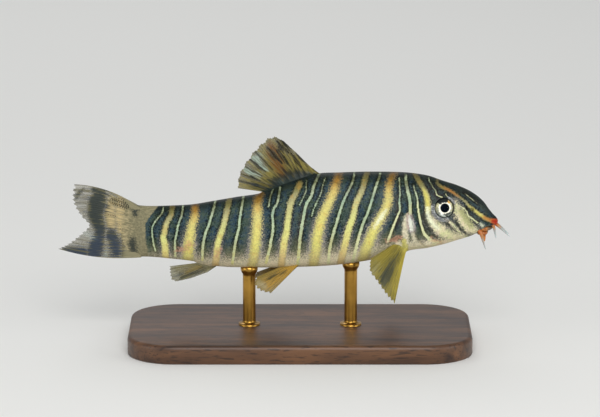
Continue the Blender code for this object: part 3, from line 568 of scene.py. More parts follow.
# Dark ground: near black beside each line and on the back, and between them patches of navy,
# bottle green and brownish violet. Down the flank it is made of ever smaller dark dots, so that
# the pale skin shows between them.
ground = coats(tree, (cloud, "#0d1414", "#141a10"), at, stipple, (
    ((shimmer, "#132130", "#25415a"), "apart", -0.36, 0.3, 0.9, 0.5),
    ((shimmer, "#1b2a1b", "#3d4c35"), "tint", -0.6, 0.12, 0.6, 0.2),
    ((shimmer, "#231d20", "#463f3c"), "dusk", 0.0, 0.8, 0.75, 2.0, patchy),
    ((patchy, "#2e4752", "#63715a"), "apart", -0.7, 0.4, 0.6, 2.4),
    ((shimmer, "#555b40", "#767759"), "pale", 1.75, 1.4, 0.72, 1.6),
    ("#7d8b84", "line", 0.0, 0.06, 0.25, 0.2),
    ((patchy, "#54564a", "#66626a"), "halo", 0.7, 0.55, 0.6, 1.4),
    ((patchy, "#b3b19c", "#b9adac"), "halo", 0.1, 0.5, 0.68, 1.3),
    ((patchy, "#bdbb94", "#c9b5a4"), "pale", -0.1, 1.1, 0.7, 1.9),
    ((patchy, "#e9e6bc", "#ecd9bb"), "pale", -1.1, 0.9, 0.9, 1.6),
    ("#10140c", "high", -0.9, 0.1, 0.75)))

# Light markings: each is a band of dense yellow or whitish cells that thin out at its sides.
# From the belly up they go from cream through lemon yellow and gold to brown.
SHADE_HEIGHTS = (0.14, 0.28, 0.46, 0.68, 0.78, 0.86, 0.95)
by_height = add(tree, "Math", (at["high"], 0.9), operation="MULTIPLY")
by_height = add(tree, "Math", (cells, 0.1, by_height), operation="MULTIPLY_ADD")
lemon, gold, silver = (
    add(tree, "ValToRGB", (by_height,), stops=tuple(zip(SHADE_HEIGHTS, shades.split())))
    for shades in ("#ddc489 #e5da87 #dfdf8b #c9c487 #aaa476 #817c4a #574b20",
                   "#dccf86 #e4dd7c #e4da7c #dace7c #d2b968 #94702a #5e3e10",
                   "#dcd791 #c6c693 #b2c19c #9fb69b #a0a98d #6f7350 #4a523e"))
gold = coat(tree, gold, "#d39a45", tint, -0.8, 0.3, 0.3)
lemon = coats(tree, lemon, at, None, (
    ("#c7923a", "tint", -0.85, 0.25, 0.35),
    ("#dbd069", "lemon", 0.0, 0.5),
    ("#bf7630", "orange", 0.0, 0.45, 0.9)))
silver = coats(tree, silver, at, None, (
    ("#cfddb4", "tint", -0.6, 0.3, 0.5),
    ("#e0e1ae", "early", 0.0, 1.8, 0.85)))
for band, name, core, fringe in ((gold, "wide", -0.26, 0.4), (lemon, "yellow", -0.15, 0.18)):
    ground = coats(tree, ground, at, stipple, (
        ((0.38, band, "#76725a"), name, core + fringe, fringe * 0.8, 0.85, fringe * 2.2),
        (band, name, core, fringe * 0.9, 0.9, fringe * 1.4)))
ground = coats(tree, ground, at, stipple, (
    ((patchy, "#6d6f60", "#8c8580"), "cream", 0.55, 0.45, 0.75, 1.2),
    ((tint, "#b3b48c", "#dccfb0"), "cream", 0.0, 0.35, 0.9, 1.2),
    ((tint, "#dedda6", "#e8d6b6"), "cream", -0.38, 0.35, 0.85, 1.5),
    ("#a6a872", "cheek", 0.0, 0.4, 0.8, 0.9),
    ((patchy, "#1d2a28", "#3a3830"), "dark", 0.0, 0.16, 0.88, 1.8, cells),
    (silver, "thin", -0.05, 0.07, 0.95, 0.16),
    # Head: painted shade in the sunken socket, a painted lilac shine on the folds, bare skin at the
    # gill opening, painted highlights at its edge, on the cheek and on the shoulder, and the snout tip
    # orange round red.
    # Painted shade in the socket.
    ("#1d232a", "socket", 0.0, 0.1),
    ((shimmer, "#7f8086", "#c6c9c4"), "lilac", 0.0, 0.06, 0.85, 0.2),
    ((shimmer, "#cdc4a4", "#efe7c8"), "flesh", 0.0, 0.32, 0.88, 0.6),
    ((shimmer, "#bdb458", "#d8d080"), "column", 0.0, 0.15, 0.9, 0.5),
    # Painted highlight on the edge of the gill opening: a grey-pink haze round it, then its white
    # core.
    ((patchy, "#93a298", "#c3a3aa"), "white", 0.36, 0.32, 0.75, 0.7),
    # Blush, and the painted shadow in the gill opening.
    ((shimmer, "#a3644a", "#d19a80"), "blush", 0.0, 0.4, 0.55, 2.4, cells),
    ("#f2f5e6", "white", 0.0, 0.24, 0.92, 0.5),
    # Painted sheen, and the whitish spot by the mouth.
    ("#f1f5d6", "glow", 0.0, 0.4, 0.82, 0.5),
    ("#c2562a", "red", 0.2, 0.25, 0.8, 0.4),
    ("#a82810", "red", 0.0, 0.25, 0.95, 0.4),
    # Tail root: the dark skin ends in a clean curve, and olive flesh streaked along the rays
    # follows, with two blotches.
    ((streaks, "#7b775d", "#938b6c"), "root", 0.0, 0.14, 1.0, 0.3),
    ((streaks, "#867d5f", "#b3a680"), "rayed", 0.0, 1.4, 1.0, 1.0, streaks),
    ("#222d30", "blotch", 0.0, 0.5, 0.85, 0.9)))
rims = add(tree, "MapRange", (beads, 0.3, 0.8, 0.0, 0.2))
grain = add(tree, "Math", (beads, -0.8, cells), operation="MULTIPLY_ADD")
dress(tree, shader, tone(tree, (rims, ground, "#23281f")), grain, 0.06, 0.35)
fit("loach_skin", skin_mesh, skin_finish, "skin", "head", "gill_cover_left", "gill_cover_right",
    "trunk_front", "trunk_rear", "tail_peduncle")


# Eyes. A loach's eye is a flattened ball with no lids that move: a silvery iris washed with
# cream, a blue-black pupil where the lens stands slightly out, and a clear cornea over both.
EYE_RADIUS, EYE_DEPTH, EYE_PROUD, LENS_PROUD = 1.95, 1.3, 0.35, 0.02
CORNEA_RADIUS, CORNEA_PROUD = 1.78, 0.12
PUPIL, IRIS = 0.86, 1.62
BROW_LEAN = math.radians(102)     # the dark brow lies over the pupil, a little to the rear
BROW_SPREAD = math.radians(34)
BROW_INNER, PALE_RING = 1.0, 1.22     # the brow starts outside the one, cream ends at the other
EYE_TILT = (np.linspace(0, 1, 90)[1:-1] * math.pi)[:, None]
EYE_TURN = np.linspace(0, 2 * math.pi, 108, endpoint=False)[None, :]
# Marks on the iris: half widths, and paths forwards and up from the middle of the pupil.
IRIS_MARKS = {
    "smudge": (((0.08, 0.2, 0.24), (-0.25, -1.2, 0.35, -1.32, 0.95, -0.98)),),
    "haze": (((0.14, 0.3, 0.34, 0.2), (-1.42, 0.0, -1.25, -0.5, -0.95, -0.95, -0.5, -1.3)),
             ((0.1, 0.16), (1.42, 0.2, 1.45, -0.5))),
    "amber": (((0.14, 0.22), (0.62, 1.28, 0.86, 1.02)),),
    "glint": (((0.1, 0.18, 0.1), (-0.8, -1.0, -0.5, -1.25, -0.1, -1.36)),),
}


def eye_ball(name, hand, radius, depth, lens):
    """A flattened ball: radius * sin(tilt) round its axis and depth * cos(tilt) along it, with
    the lens as a low dome lens * (1 - (r / pupil) ** 2) over the pupil."""
    x, y = (radius * np.sin(EYE_TILT) * f(EYE_TURN) for f in (np.cos, np.sin))
    dome = np.clip(1 - (np.hypot(x, y) / PUPIL) ** 2, 0, 1) * (EYE_TILT < 1)
    out = depth * np.cos(EYE_TILT) + lens * dome
    core = eye_middle + eye_out * (EYE_PROUD - EYE_DEPTH)
    points = core + x[..., None] * eye_across + y[..., None] * eye_up + out[..., None] * eye_out
    mirror = np.array((1, -hand, 1))
    return closed_surface(name, points * mirror, (core + eye_out * (depth + lens)) * mirror,
                          (core - eye_out * depth) * mirror)


iris_x, iris_y = (EYE_RADIUS * np.sin(EYE_TILT) * f(EYE_TURN) for f in (np.cos, np.sin))
iris_reach = np.hypot(iris_x, iris_y)
iris = {name: strokes(iris_x, iris_y, lines) for name, lines in IRIS_MARKS.items()}
above = iris_x * math.cos(BROW_LEAN) + iris_y * math.sin(BROW_LEAN)
beside = np.abs(iris_x * math.sin(BROW_LEAN) - iris_y * math.cos(BROW_LEAN))
iris["brow"] = np.minimum(iris_reach - BROW_INNER, above * math.sin(BROW_SPREAD)
                          - beside * math.cos(BROW_SPREAD) + 0.1)
iris_reach = iris_reach + FAR_OFF * (EYE_TILT > math.pi / 2)     # all of the ball's back is rim
iris.update({"lower": -0.55 * iris_y - 0.35, "inner": PALE_RING - iris_reach,
             "rim": iris_reach - IRIS, "pupil": PUPIL - iris_reach})

# Iris and lens behind a wet surface: the iris is silvery with fine spokes and dark smudges.
iris_finish, tree, shader = finish("silvery_iris", {
    "Roughness": 0.6, "IOR": 1.34, "Specular IOR Level": 0.06})
where = add(tree, "TexCoord", {}, "Object")
flecks = add(tree, "TexNoise", {"Vector": where, "Scale": 1 / (0.3 * MM), "Detail": 3.0})
flecks = add(tree, "MapRange", (flecks, 0.36, 0.64))
silver = coats(tree, (flecks, "#a3a17c", "#f4f0c2"), carried(tree, iris), flecks, (
    ("#b9c6c0", "lower", 0.0, 0.25, 0.75, 0.5),
    ("#84877b", "haze", 0.0, 0.12, 0.85, 0.4),
    ("#fffcea", "inner", 0.0, 0.12, 1.0, 0.25),
    ("#f6fbf6", "glint", 0.0, 0.1, 0.9, 0.25),
    ("#333a34", "smudge", 0.0, 0.12, 0.92, 0.4),
    ("#dfa544", "amber", 0.0, 0.12, 0.95, 0.2),
    ("#121a22", "brow", 0.0, 0.06, 0.97, 0.2),
    ("#1b1d22", "rim", 0.0, 0.06, 0.95, 0.2),
    ("#020812", "pupil", 0.0, 0.03)))
tree.links.new(silver, shader["Base Color"])

# Cornea: a clear film. Light passes straight through it, and its gloss is as faint as it is
# under water, where the pupil looks plain black.
cornea_finish = bpy.data.materials.new("clear_cornea")
cornea_finish.use_nodes = True
tree = cornea_finish.node_tree
tree.nodes.remove(tree.nodes["Principled BSDF"])
clear = add(tree, "BsdfTransparent", ((1, 1, 1, 1),))
gloss = add(tree, "BsdfGlossy", {"Color": (1, 1, 1, 1), "Roughness": 0.04})
film = add(tree, "MixShader", (add(tree, "Fresnel", {"IOR": 1.08}), clear, gloss))
tree.links.new(film, tree.nodes["Material Output"].inputs["Surface"])
for word, hand in (("left", 1), ("right", -1)):
    ball = eye_ball("eye_ball_" + word, hand, EYE_RADIUS, EYE_DEPTH, LENS_PROUD)
    carry(ball, iris)
    fit("eye_ball_" + word, ball, iris_finish, "eye", "eye_" + word)
    clear = eye_ball("cornea_" + word, hand, CORNEA_RADIUS, EYE_DEPTH + CORNEA_PROUD, 0.0)
    fit("cornea_" + word, clear, cornea_finish, "eye")


# Lips and barbels. Soft, boneless feelers and two fleshy lips grow from the skin of the snout.
# They are tubes along smooth paths, thinner towards the tip, with their roots sunk in the skin.
# Each is a path of places on the fish and the radii along it.
LIPS = {
    "upper": (((3.3, 1.3, 7.5), (2.0, 1.05, 7.62), (1.35, 0.0, 7.72), (2.0, -1.05, 7.62),
               (3.3, -1.3, 7.5)), (0.28, 0.42, 0.42, 0.42, 0.28)),
    "lower": (((3.6, 1.1, 6.75), (2.6, 0.85, 6.72), (2.15, 0.0, 6.85), (2.6, -0.85, 6.72),
               (3.6, -1.1, 6.75)), (0.28, 0.46, 0.34, 0.46, 0.28)),
}
CHIN_BARBEL = (((2.7, 0.75, 6.7), (2.55, 0.8, 6.1), (2.5, 0.88, 5.3)), (0.34, 0.28, 0.14))
BARBELS = {
    "rostral_inner": (((1.3, 0.35, 8.9), (0.1, 0.5, 8.1), (-0.75, 0.75, 7.4), (-2.05, 1.1, 6.2)),
                      (0.38, 0.27, 0.19, 0.07)),
    "rostral_outer": (((1.6, 0.9, 9.2), (0.85, 1.1, 8.0), (0.6, 1.2, 7.0), (0.4, 1.35, 5.9)),
                      (0.38, 0.27, 0.19, 0.07)),
    "maxillary": (((4.2, 1.5, 8.1), (3.3, 2.0, 7.0), (2.95, 2.1, 5.9), (2.4, 2.3, 4.0)),
                  (0.46, 0.38, 0.23, 0.07)),
}
PALE_OUT = {"rostral_inner": 0.86, "rostral_outer": 0.86, "maxillary": 0.68}
PAPILLA, PAPILLA_TURNS, PAPILLAE_ALONG, TIP_STEPS = 0.012, 5, 31, 4


def feeler(name, path, radii, steps, around, knobs=0.0, pale_out=1.0):
    """A round tube: its centre follows a smooth curve through the path's points, its radius
    one through the radii, with knobs * sin * sin for papillae and a round tip. It carries the
    way along it times pale_out, which tells how far its colour goes from red to white."""
    share = np.linspace(0, 1, steps)
    line = smooth_path(place(*np.transpose(path)), share)
    ahead = np.gradient(line, axis=0)
    ahead /= np.linalg.norm(ahead, axis=1)[:, None]
    hint = (0.0, 0.0, 1.0) if np.abs(ahead[:, 2]).max() < 0.8 else (0.0, 1.0, 0.0)
    across = np.cross(hint, ahead)
    across /= np.linalg.norm(across, axis=1)[:, None]
    up = np.cross(ahead, across)
    radius = smooth_curve(share, np.linspace(0, 1, len(radii)), radii)
    close = np.linspace(0, math.pi / 2, TIP_STEPS + 2)[1:-1]
    line = np.concatenate((line, line[-1] + ahead[-1] * radius[-1] * np.sin(close)[:, None]))
    across, up = (np.pad(v, ((0, TIP_STEPS), (0, 0)), mode="edge") for v in (across, up))
    radius = np.concatenate((radius, radius[-1] * np.cos(close)))[:, None]
    share = np.pad(share, (0, TIP_STEPS), mode="edge")[:, None]
    turn = np.linspace(0, 2 * math.pi, around, endpoint=False)[None, :]
    radius = radius + knobs * np.sin(share * 2 * PAPILLAE_ALONG) * np.sin(
        turn * PAPILLA_TURNS + share * PAPILLAE_ALONG)
    loops = (line[:, None] + (radius * np.cos(turn))[..., None] * across[:, None]
             + (radius * np.sin(turn))[..., None] * up[:, None])
    last = line[-1] + ahead[-1] * radius[-1, 0] * 0.3
    mesh = closed_surface(name, loops, line[0], last)
    carry(mesh, {"along": np.broadcast_to(share * pale_out, loops.shape[:2])})
    return mesh


# Barbel skin: smooth and wet, blood-red to orange at the root, bluish white at the tip.
barbel_finish, tree, shader = finish("barbel_skin", {
    "Roughness": 0.35, "IOR": 1.4, "Subsurface Weight": 0.1, "Subsurface Scale": 0.3 * MM,
    "Coat Weight": 0.15, "Coat Roughness": 0.2})
where = add(tree, "TexCoord", {}, "Object")
mottle = add(tree, "TexNoise", {"Vector": where, "Scale": 1 / (0.5 * MM)})
along = carried(tree, ("along",))["along"]
along = add(tree, "Math", (mottle, 0.3, along), operation="MULTIPLY_ADD")
blood = add(tree, "ValToRGB", (along,), stops=(
    (0.12, "#a83a14"), (0.36, "#b8682a"), (0.52, "#b0865c"), (0.68, "#9ea09c"), (1.0, "#b4c2c2")))
dress(tree, shader, blood, mottle, 0.04, 0.3)

# Lip skin: the same flesh without scales, orange to brown, with fine papillae. It is dusky in
# front of a level that lies 1.9 mm behind the snout tip.
DUSKY_BEFORE = 1.9
lip_finish, tree, shader = finish("lip_skin", {
    "Roughness": 0.38, "IOR": 1.4, "Subsurface Weight": 0.15, "Subsurface Scale": 0.5 * MM,
    "Coat Weight": 0.2, "Coat Roughness": 0.2})
where = add(tree, "TexCoord", {}, "Object")
mottle = add(tree, "TexNoise", {"Vector": where, "Scale": 1 / (0.6 * MM), "Detail": 3.0})
orange = add(tree, "ValToRGB", (mottle,), stops=((0.35, "#8a4a1c"), (0.65, "#d5883c")))
ahead = add(tree, "SeparateXYZ", (where,))
ahead = add(tree, "Math", (ahead, 1 / MM), operation="MULTIPLY")
dusky = coat(tree, orange, "#4b4a3c", ahead, DUSKY_BEFORE - SNOUT_X, 0.35, 0.85, 1.2, mottle)
papillae = add(tree, "TexVoronoi", {"Vector": where, "Scale": 1 / (0.22 * MM)})
dress(tree, shader, dusky, papillae, 0.05, 0.4, invert=True)
for word, (path, radii) in LIPS.items():
    fit("lip_" + word, feeler("lip_" + word, path, radii, 70, 28, PAPILLA), lip_finish, "lip",
        word + "_lip")
for word, hand in (("left", 1), ("right", -1)):
    path, radii = CHIN_BARBEL
    chin_barbel = feeler("chin_barbel_" + word, np.array(path) * (1, hand, 1), radii, 24, 18)
    fit("chin_barbel_" + word, chin_barbel, lip_finish, "lip")
    for kind, (path, radii) in BARBELS.items():
        name = "_".join(("feeler", kind, word))
        barbel = feeler(name, np.array(path) * (1, hand, 1), radii, 60, 20, pale_out=PALE_OUT[kind])
        fit(name, barbel, barbel_finish, "barbel", "_".join(("barbel", kind, word)))


# Fins. Each is a clear membrane thinner than paper, stretched over bony rays that are jointed
# every half millimetre, fork once or twice on the way to the edge and spread like a fan.
WEB_THICK, WEB_TAPER = 0.12, 0.4
RAY_JOINT, JOINT_SHIFT, JOINT_DEPTH = 0.45, 0.19, 0.25     # joints are shifted from ray to ray
RAY_HALF, RAY_PROUD = (0.15, 0.07), (0.15, 0.04)     # at the root and at the edge
FORKS = ((0.22, 0.45, 0.25), (0.5, 0.4, 0.125))      # share out, length, reach in ray gaps
ROOT_FADE = 0.13
SCALLOP, WAVER = 0.035, 0.01      # how much the edge dips between the rays and wavers, as shares
OUT_STEPS, OUT_CROWDED = 81, 1.1
STREAK_ACROSS, STREAK_ALONG = 2.6, 0.22
# Root as places on the fish, margin as (share of the rays, place), number of rays, columns of
# the mesh to a ray, the share of a ray that the flesh hides, thickness and depth of the root.
FINS = {
    "dorsal": dict(
        root=[(d, 0.0, float(station(d, 1)) + 0.3) for d in np.linspace(33.6, 44.0, 6)],
        margin=((0.0, 35.0, 0.0, 19.1), (0.1, 37.4, 0.05, 21.6), (0.2, 40.0, 0.1, 24.0),
                (0.32, 41.8, 0.15, 24.8), (0.55, 45.0, 0.2, 22.5), (0.72, 47.2, 0.2, 19.5),
                (0.86, 48.3, 0.2, 17.2), (1.0, 48.5, 0.15, 15.0)),
        rays=11, grain=24, bare=0.12, thick=1.3, sink=0.8),
    "anal": dict(
        root=[(d, 0.0, float(station(d, 2)) - 0.3) for d in np.linspace(52.8, 56.4, 4)],
        margin=((0.0, 54.2, -0.1, -1.1), (0.15, 57.4, -0.25, -2.3), (0.3, 60.2, -0.4, -2.9),
                (0.6, 61.2, -0.3, -1.7), (1.0, 61.3, -0.2, -0.1)),
        rays=8, grain=20, bare=0.14, thick=1.0, sink=0.8),
    "caudal": dict(
        root=((68.1, 0.0, 11.4), (68.1, 0.0, 6.5), (68.1, 0.0, 1.6)),
        margin=((0.0, 79.2, 0.0, 14.9), (0.125, 79.5, 0.1, 12.6), (0.25, 79.1, 0.2, 10.7),
                (0.375, 77.9, 0.2, 8.8), (0.5, 76.5, 0.2, 7.15), (0.625, 77.8, 0.2, 5.6),
                (0.75, 79.4, 0.1, 4.2), (0.875, 81.0, 0.0, 3.1), (1.0, 82.3, 0.0, 2.4)),
        rays=19, grain=16, bare=0.25, thick=0.9, sink=1.5, bow=(1.05, 0.0, -0.8)),
    "pectoral": dict(
        root=((17.3, 3.0, 4.0), (19.3, 3.9, 5.4)),
        margin=((0.0, 19.4, 8.0, -5.1), (0.25, 21.0, 7.6, -3.3), (0.5, 22.6, 6.9, -1.1),
                (0.75, 24.0, 6.2, 1.0), (1.0, 23.9, 5.6, 2.8)),
        rays=12, grain=18, bare=0.14, thick=1.1, sink=0.9, cup=0.5),
    "pelvic": dict(
        root=((36.8, 2.0, 1.3), (38.4, 1.2, 1.1)),
        margin=((0.0, 42.4, 4.4, -4.0), (0.3, 44.3, 3.8, -3.6), (0.65, 45.4, 2.9, -2.5),
                (1.0, 45.0, 2.0, -1.5)),
        rays=8, grain=20, bare=0.14, thick=1.0, sink=0.7),
}
# Pigment, written as the markings are: dark clouds, reddish or yellow areas, whitish areas, and
# fine black streaks along the rays.
PIGMENT = {
    "dorsal": (
        (((0.4, 0.9, 1.2, 0.9), (35.6, 17.2, 38.0, 17.5, 39.9, 16.8, 42.4, 15.2)),
         ((0.8, 0.3), (43.2, 14.8, 45.8, 15.4)),
         ((0.3, 0.5, 0.2), (40.8, 23.9, 39.8, 22.8, 38.6, 21.6))),
        (((0.8, 1.0, 0.7, 0.3), (40.0, 17.2, 41.0, 19.2, 42.0, 21.4, 42.6, 23.0)),),
        (((0.12, 0.25), (40.0, 15.9, 40.4, 16.2)),
         ((0.5, 0.9), (43.4, 18.4, 45.0, 20.2)),
         ((0.4, 0.7), (44.4, 17.0, 46.6, 18.0))),
        (((0.2, 0.42, 0.2), (40.7, 24.2, 39.7, 23.2, 38.5, 22.1)),
         ((0.2, 0.36, 0.2), (41.2, 23.4, 40.2, 22.4, 39.1, 21.3)),
         ((0.2, 0.44, 0.2), (37.6, 21.6, 36.8, 20.6, 35.8, 19.5)),
         ((0.16, 0.34, 0.18), (38.6, 21.2, 37.6, 19.9, 36.7, 18.6)),
         ((0.2, 0.4, 0.24), (43.0, 22.2, 41.6, 20.8, 40.3, 19.3)),
         ((0.16, 0.3, 0.16), (41.0, 21.7, 39.6, 19.9, 38.4, 18.3)),
         ((0.12, 0.24, 0.14), (47.6, 19.0, 45.6, 17.8, 44.0, 17.0)),
         ((0.12, 0.24, 0.14), (46.6, 20.4, 44.8, 18.8, 43.3, 17.8)),
         ((0.12, 0.24, 0.14), (48.0, 17.4, 46.1, 16.7, 44.4, 16.0)),
         ((0.12, 0.22, 0.14), (45.4, 21.6, 43.4, 19.6, 42.0, 18.2)),
         ((0.12, 0.2, 0.12), (48.0, 16.0, 46.2, 15.6, 44.8, 15.2)))),
    "anal": (
        (((0.3, 0.5), (55.0, -0.5, 59.0, -2.0)),),
        (((0.5, 0.6), (55.5, 0.0, 58.0, -1.0)),),
        (((0.3, 0.3), (60.0, -1.5, 61.0, -1.0)),),
        (((0.05, 0.12), (56.0, -0.6, 59.0, -1.8)),)),
    "caudal": (
        (((0.4, 0.6), (73.6, 14.3, 75.4, 14.4)),
         ((1.0, 1.7, 1.5, 1.1), (74.2, 13.8, 74.8, 12.1, 75.2, 10.0, 74.5, 7.4)),
         ((0.9, 1.3, 1.5), (74.3, 6.7, 74.9, 4.6, 75.5, 2.7)),
         ((1.0, 1.2, 1.0), (72.3, 6.1, 71.7, 4.4, 71.2, 2.7)),
         ((0.6, 0.9, 0.9), (82.4, 2.4, 80.3, 2.8, 77.6, 2.7)),
         ((0.1, 0.3, 0.1), (77.4, 14.6, 78.3, 13.8, 78.9, 12.8))),
        (((0.9, 1.5, 1.3), (70.2, 12.5, 70.2, 9.8, 70.0, 7.4)),
         ((0.7, 1.2, 1.0), (72.2, 12.4, 72.5, 10.2, 72.2, 7.8)),
         ((0.6, 0.5), (69.4, 4.8, 69.4, 3.4))),
        (((0.2, 0.3), (73.2, 3.2, 73.4, 2.4)),
         ((0.4, 0.6), (77.6, 6.4, 75.6, 5.4))),
        (((0.5, 0.95, 0.7), (69.2, 11.2, 70.5, 12.0, 71.9, 12.3)),
         ((0.06, 0.14, 0.06), (68.8, 8.0, 69.8, 8.0, 71.2, 8.1)),
         ((0.06, 0.16, 0.06), (69.0, 6.9, 70.0, 7.0, 71.6, 7.3)),
         ((0.06, 0.12, 0.06), (71.0, 9.4, 72.0, 9.6, 73.4, 9.8)))),
    "pectoral": (
        (((0.4, 0.9, 0.6), (18.8, 2.5, 20.6, -0.5, 21.4, -3.0)),),
        (((1.0, 0.7, 0.4), (17.4, 3.0, 18.0, 0.0, 19.0, -4.0)),),
        (((0.5, 0.5), (22.5, 0.5, 23.5, -1.0)),),
        (((0.06, 0.16), (19.4, 1.5, 22.0, -2.6)),)),
    "pelvic": (
        (((0.1, 0.2), (40.0, -1.0, 42.0, -2.0)),),
        (((1.0, 1.0), (38.0, 0.5, 42.5, -3.0)),),
        (((0.3, 0.3), (43.5, -3.5, 44.5, -3.0)),),
        (((0.05, 0.12), (39.5, -0.4, 42.6, -2.2)),)),
}
# What each point of a fin carries: the ray and its joints, the share of the way out, the four
# pigments, its sight height, and two measures for streaks, across the rays and along them.
FIN_MEASURES = ("ray", "joints", "out", "dark", "tint", "pale", "fine", "seen", "beside", "along")


def fan(root, margin, rays, grain, sink, bow, cup, hand):
    """Middle surface of a fin: straight lines from the root to the ray tips, arched upwards by
    bow * 4 u (1 - u) and outwards by cup * sin(pi s) * sin(0.8 pi u); s runs over the rays and
    u out from the root. The edge is scalloped, with sin squared dips between the rays."""
    share = np.linspace(0, 1, grain * (rays - 1) + 1)
    out = (np.linspace(0, 1, OUT_STEPS) ** OUT_CROWDED)[None, :]
    start = smooth_path(root, share)
    margin = np.array(margin)
    end = np.stack([smooth_curve(share, margin[:, 0], margin[:, k]) for k in (1, 2, 3)], -1)
    end = start + (end - start) * (1 - SCALLOP * np.sin(math.pi * share * (rays - 1)) ** 2
                                   - WAVER * np.sin(19.7 * share * rays))[:, None]
    start = start - (end - start) / np.linalg.norm(end - start, axis=1)[:, None] * sink
    grid = start[:, None] + (end - start)[:, None] * out[..., None]
    grid[..., 2] += np.interp(share, np.linspace(0, 1, len(bow)), bow)[:, None] * 4 * out * (1 - out)
    grid[..., 1] += cup * np.sin(math.pi * share)[:, None] * np.sin(0.8 * math.pi * out)
    grid[..., 1] *= hand
    return share[:, None], out, grid


def fin_sheet(name, pigment, hand, root, margin, rays, grain, bare, thick, sink,
              bow=(0.0, 0.0), cup=0.0):
    """Closes a fan into a sheet: both faces are its middle surface moved by half the thickness
    of the web, plus the ray ridges, plus a fleshy root that dies away as exp(-(u / fade)^2).
    A ray is exp(-(gap / half width)^2) round its line, which forks twice into even branches;
    it comes out of the flesh at bare of the way out."""
    share, out, grid = fan(root, margin, rays, grain, sink, bow, cup, hand)
    number = share * (rays - 1)
    gap = number - np.round(number)
    forked = ease(np.minimum(np.round(number), rays - 1 - np.round(number)) - 0.5)
    apart = grain * np.linalg.norm(np.gradient(grid, axis=0), axis=-1)
    first, second = (reach * ease((out - start) / run) * forked for start, run, reach in FORKS)
    half, proud = (inner + (outer - inner) * out for inner, outer in (RAY_HALF, RAY_PROUD))
    ray = np.max([ridge((gap - a * first - b * second) * apart, half)
                  for a in (-1, 1) for b in (-1, 1)], axis=0) * ease((out - bare + 0.06) / 0.12)
    length = np.cumsum(np.linalg.norm(np.diff(grid, axis=1, prepend=grid[:, :1]), axis=-1), axis=1)
    joints = np.cos(2 * math.pi * (length + JOINT_SHIFT * np.round(number)) / RAY_JOINT)
    joints = (0.5 + 0.5 * joints) ** 3
    half_thick = (WEB_THICK / 2 * (1 - WEB_TAPER * out) + ray * proud * (1 - JOINT_DEPTH * joints)
                  + ridge(out, ROOT_FADE, thick / 2))
    behind, side, height = np.moveaxis(grid, -1, 0)
    middle = place(behind, side, height)
    normal = np.cross(np.gradient(middle, axis=0), np.gradient(middle, axis=1))
    normal /= np.linalg.norm(normal, axis=-1)[..., None]
    points = np.stack([middle + way * normal * half_thick[..., None] for way in (1, -1)])
    index = np.arange(points[..., 0].size).reshape(points.shape[:3])
    loops = np.concatenate((index[0], index[1][:, ::-1]), axis=1)
    after = np.roll(loops, -1, axis=1)
    quads = [np.stack((loops[:-1], after[:-1], after[1:], loops[1:]), -1).reshape(-1, 4)]
    for column, way in ((0, -1), (-1, 1)):
        a, b = index[:, column]
        quads.append(np.stack((a[:-1], a[1:], b[1:], b[:-1]), -1)[:, ::way])
    mesh = outward_mesh(name, points.reshape(-1, 3), np.concatenate(quads), np.zeros((0, 3), int))
    seen = height * math.cos(SIGHT_DOWN) + (bend(behind) - np.abs(side)) * math.sin(SIGHT_DOWN)
    painted = (strokes(behind, seen, lines) for lines in pigment)
    values = (ray, joints, out, *painted, seen, STREAK_ACROSS * number, STREAK_ALONG * length)
    carry(mesh, {measure: np.tile(np.broadcast_to(value, length.shape), (2, 1))
                 for measure, value in zip(FIN_MEASURES, values)})
    return mesh


def membrane(name, root_end, dashed, web_alpha, edge_alpha, change, root_tones, ray_tones,
             web_tones, dark_tones, tint_look, pale_look, fine_look):
    """Fin web and rays: the web lets light through, the rays and the pigment hardly do. The
    pigment lies in streaks along the rays, from a noise that is long the way they run. Next to
    the body, up to root_end of the way out, the fin has flesh and skin over it."""
    made, tree, shader = finish(name, {"Roughness": 0.35, "IOR": 1.38, "Specular IOR Level": 0.3})
    at = carried(tree, FIN_MEASURES)
    flow = add(tree, "CombineXYZ", (at["beside"], at["along"]))
    streaks = add(tree, "TexNoise", {"Vector": flow, "Scale": 1.0, "Detail": 3.0, "Roughness": 0.6})
    streaks = add(tree, "MapRange", (streaks, 0.36, 0.64))
    raised = add(tree, "MapRange", (at["seen"], *change))
    dark = tone(tree, (raised, *dark_tones))
    joint = add(tree, "Math", (at["joints"], 0.45), operation="MULTIPLY")
    dashes = add(tree, "MapRange", (at["joints"], 0.1, 0.45, 0.95, 0.95 - dashed))
    at["near"] = add(tree, "Math", (root_end, at["out"]), operation="SUBTRACT")
    at["streaks"] = streaks
    ground = coats(tree, (streaks, *web_tones), at, streaks, (
        (tint_look, "tint", 0.0, 0.7, 0.85, 1.4),
        ((streaks, *root_tones), "near", 0.0, 0.08, 1.0, 0.12),
        (pale_look, "pale", 0.0, 0.4, 0.85, 1.0),
        (dark, "streaks", -0.85, 0.1, 0.45),
        (fine_look, "fine", 0.0, 0.09, dashes, 0.36),
        ((joint, (at["out"], *ray_tones), dark), "ray", -0.5, 0.22, 0.6),
        (dark, "dark", 0.0, 0.6, 0.85, 2.1)))

    # How much light it stops: least near the edge, most in the rays, the pigment and the root.
    web = add(tree, "MapRange", (at["out"], 0.3, 1.0, web_alpha, edge_alpha))
    solid = add(tree, "Math", (streaks, 0.2, web), operation="MULTIPLY_ADD")
    bony = add(tree, "MapRange", (at["out"], 0.5, 1.0, 1.0, 0.85))
    bony = add(tree, "Math", (bony, at["ray"]), operation="MULTIPLY")
    solid = add(tree, "Math", (solid, bony), operation="MAXIMUM")
    for field, none, full, most in (("dark", -0.8, 0.4, 0.93), ("fine", -0.1, 0.1, 0.9),
                                    ("near", -0.12, 0.05, 1.0), ("tint", -0.9, 0.5, 0.88)):
        more = add(tree, "MapRange", (at[field], none, full, 0.0, most))
        solid = add(tree, "Math", (solid, more), operation="MAXIMUM")
    tree.links.new(solid, shader["Alpha"])
    dress(tree, shader, ground, streaks, 0.03, 0.3)
    return made


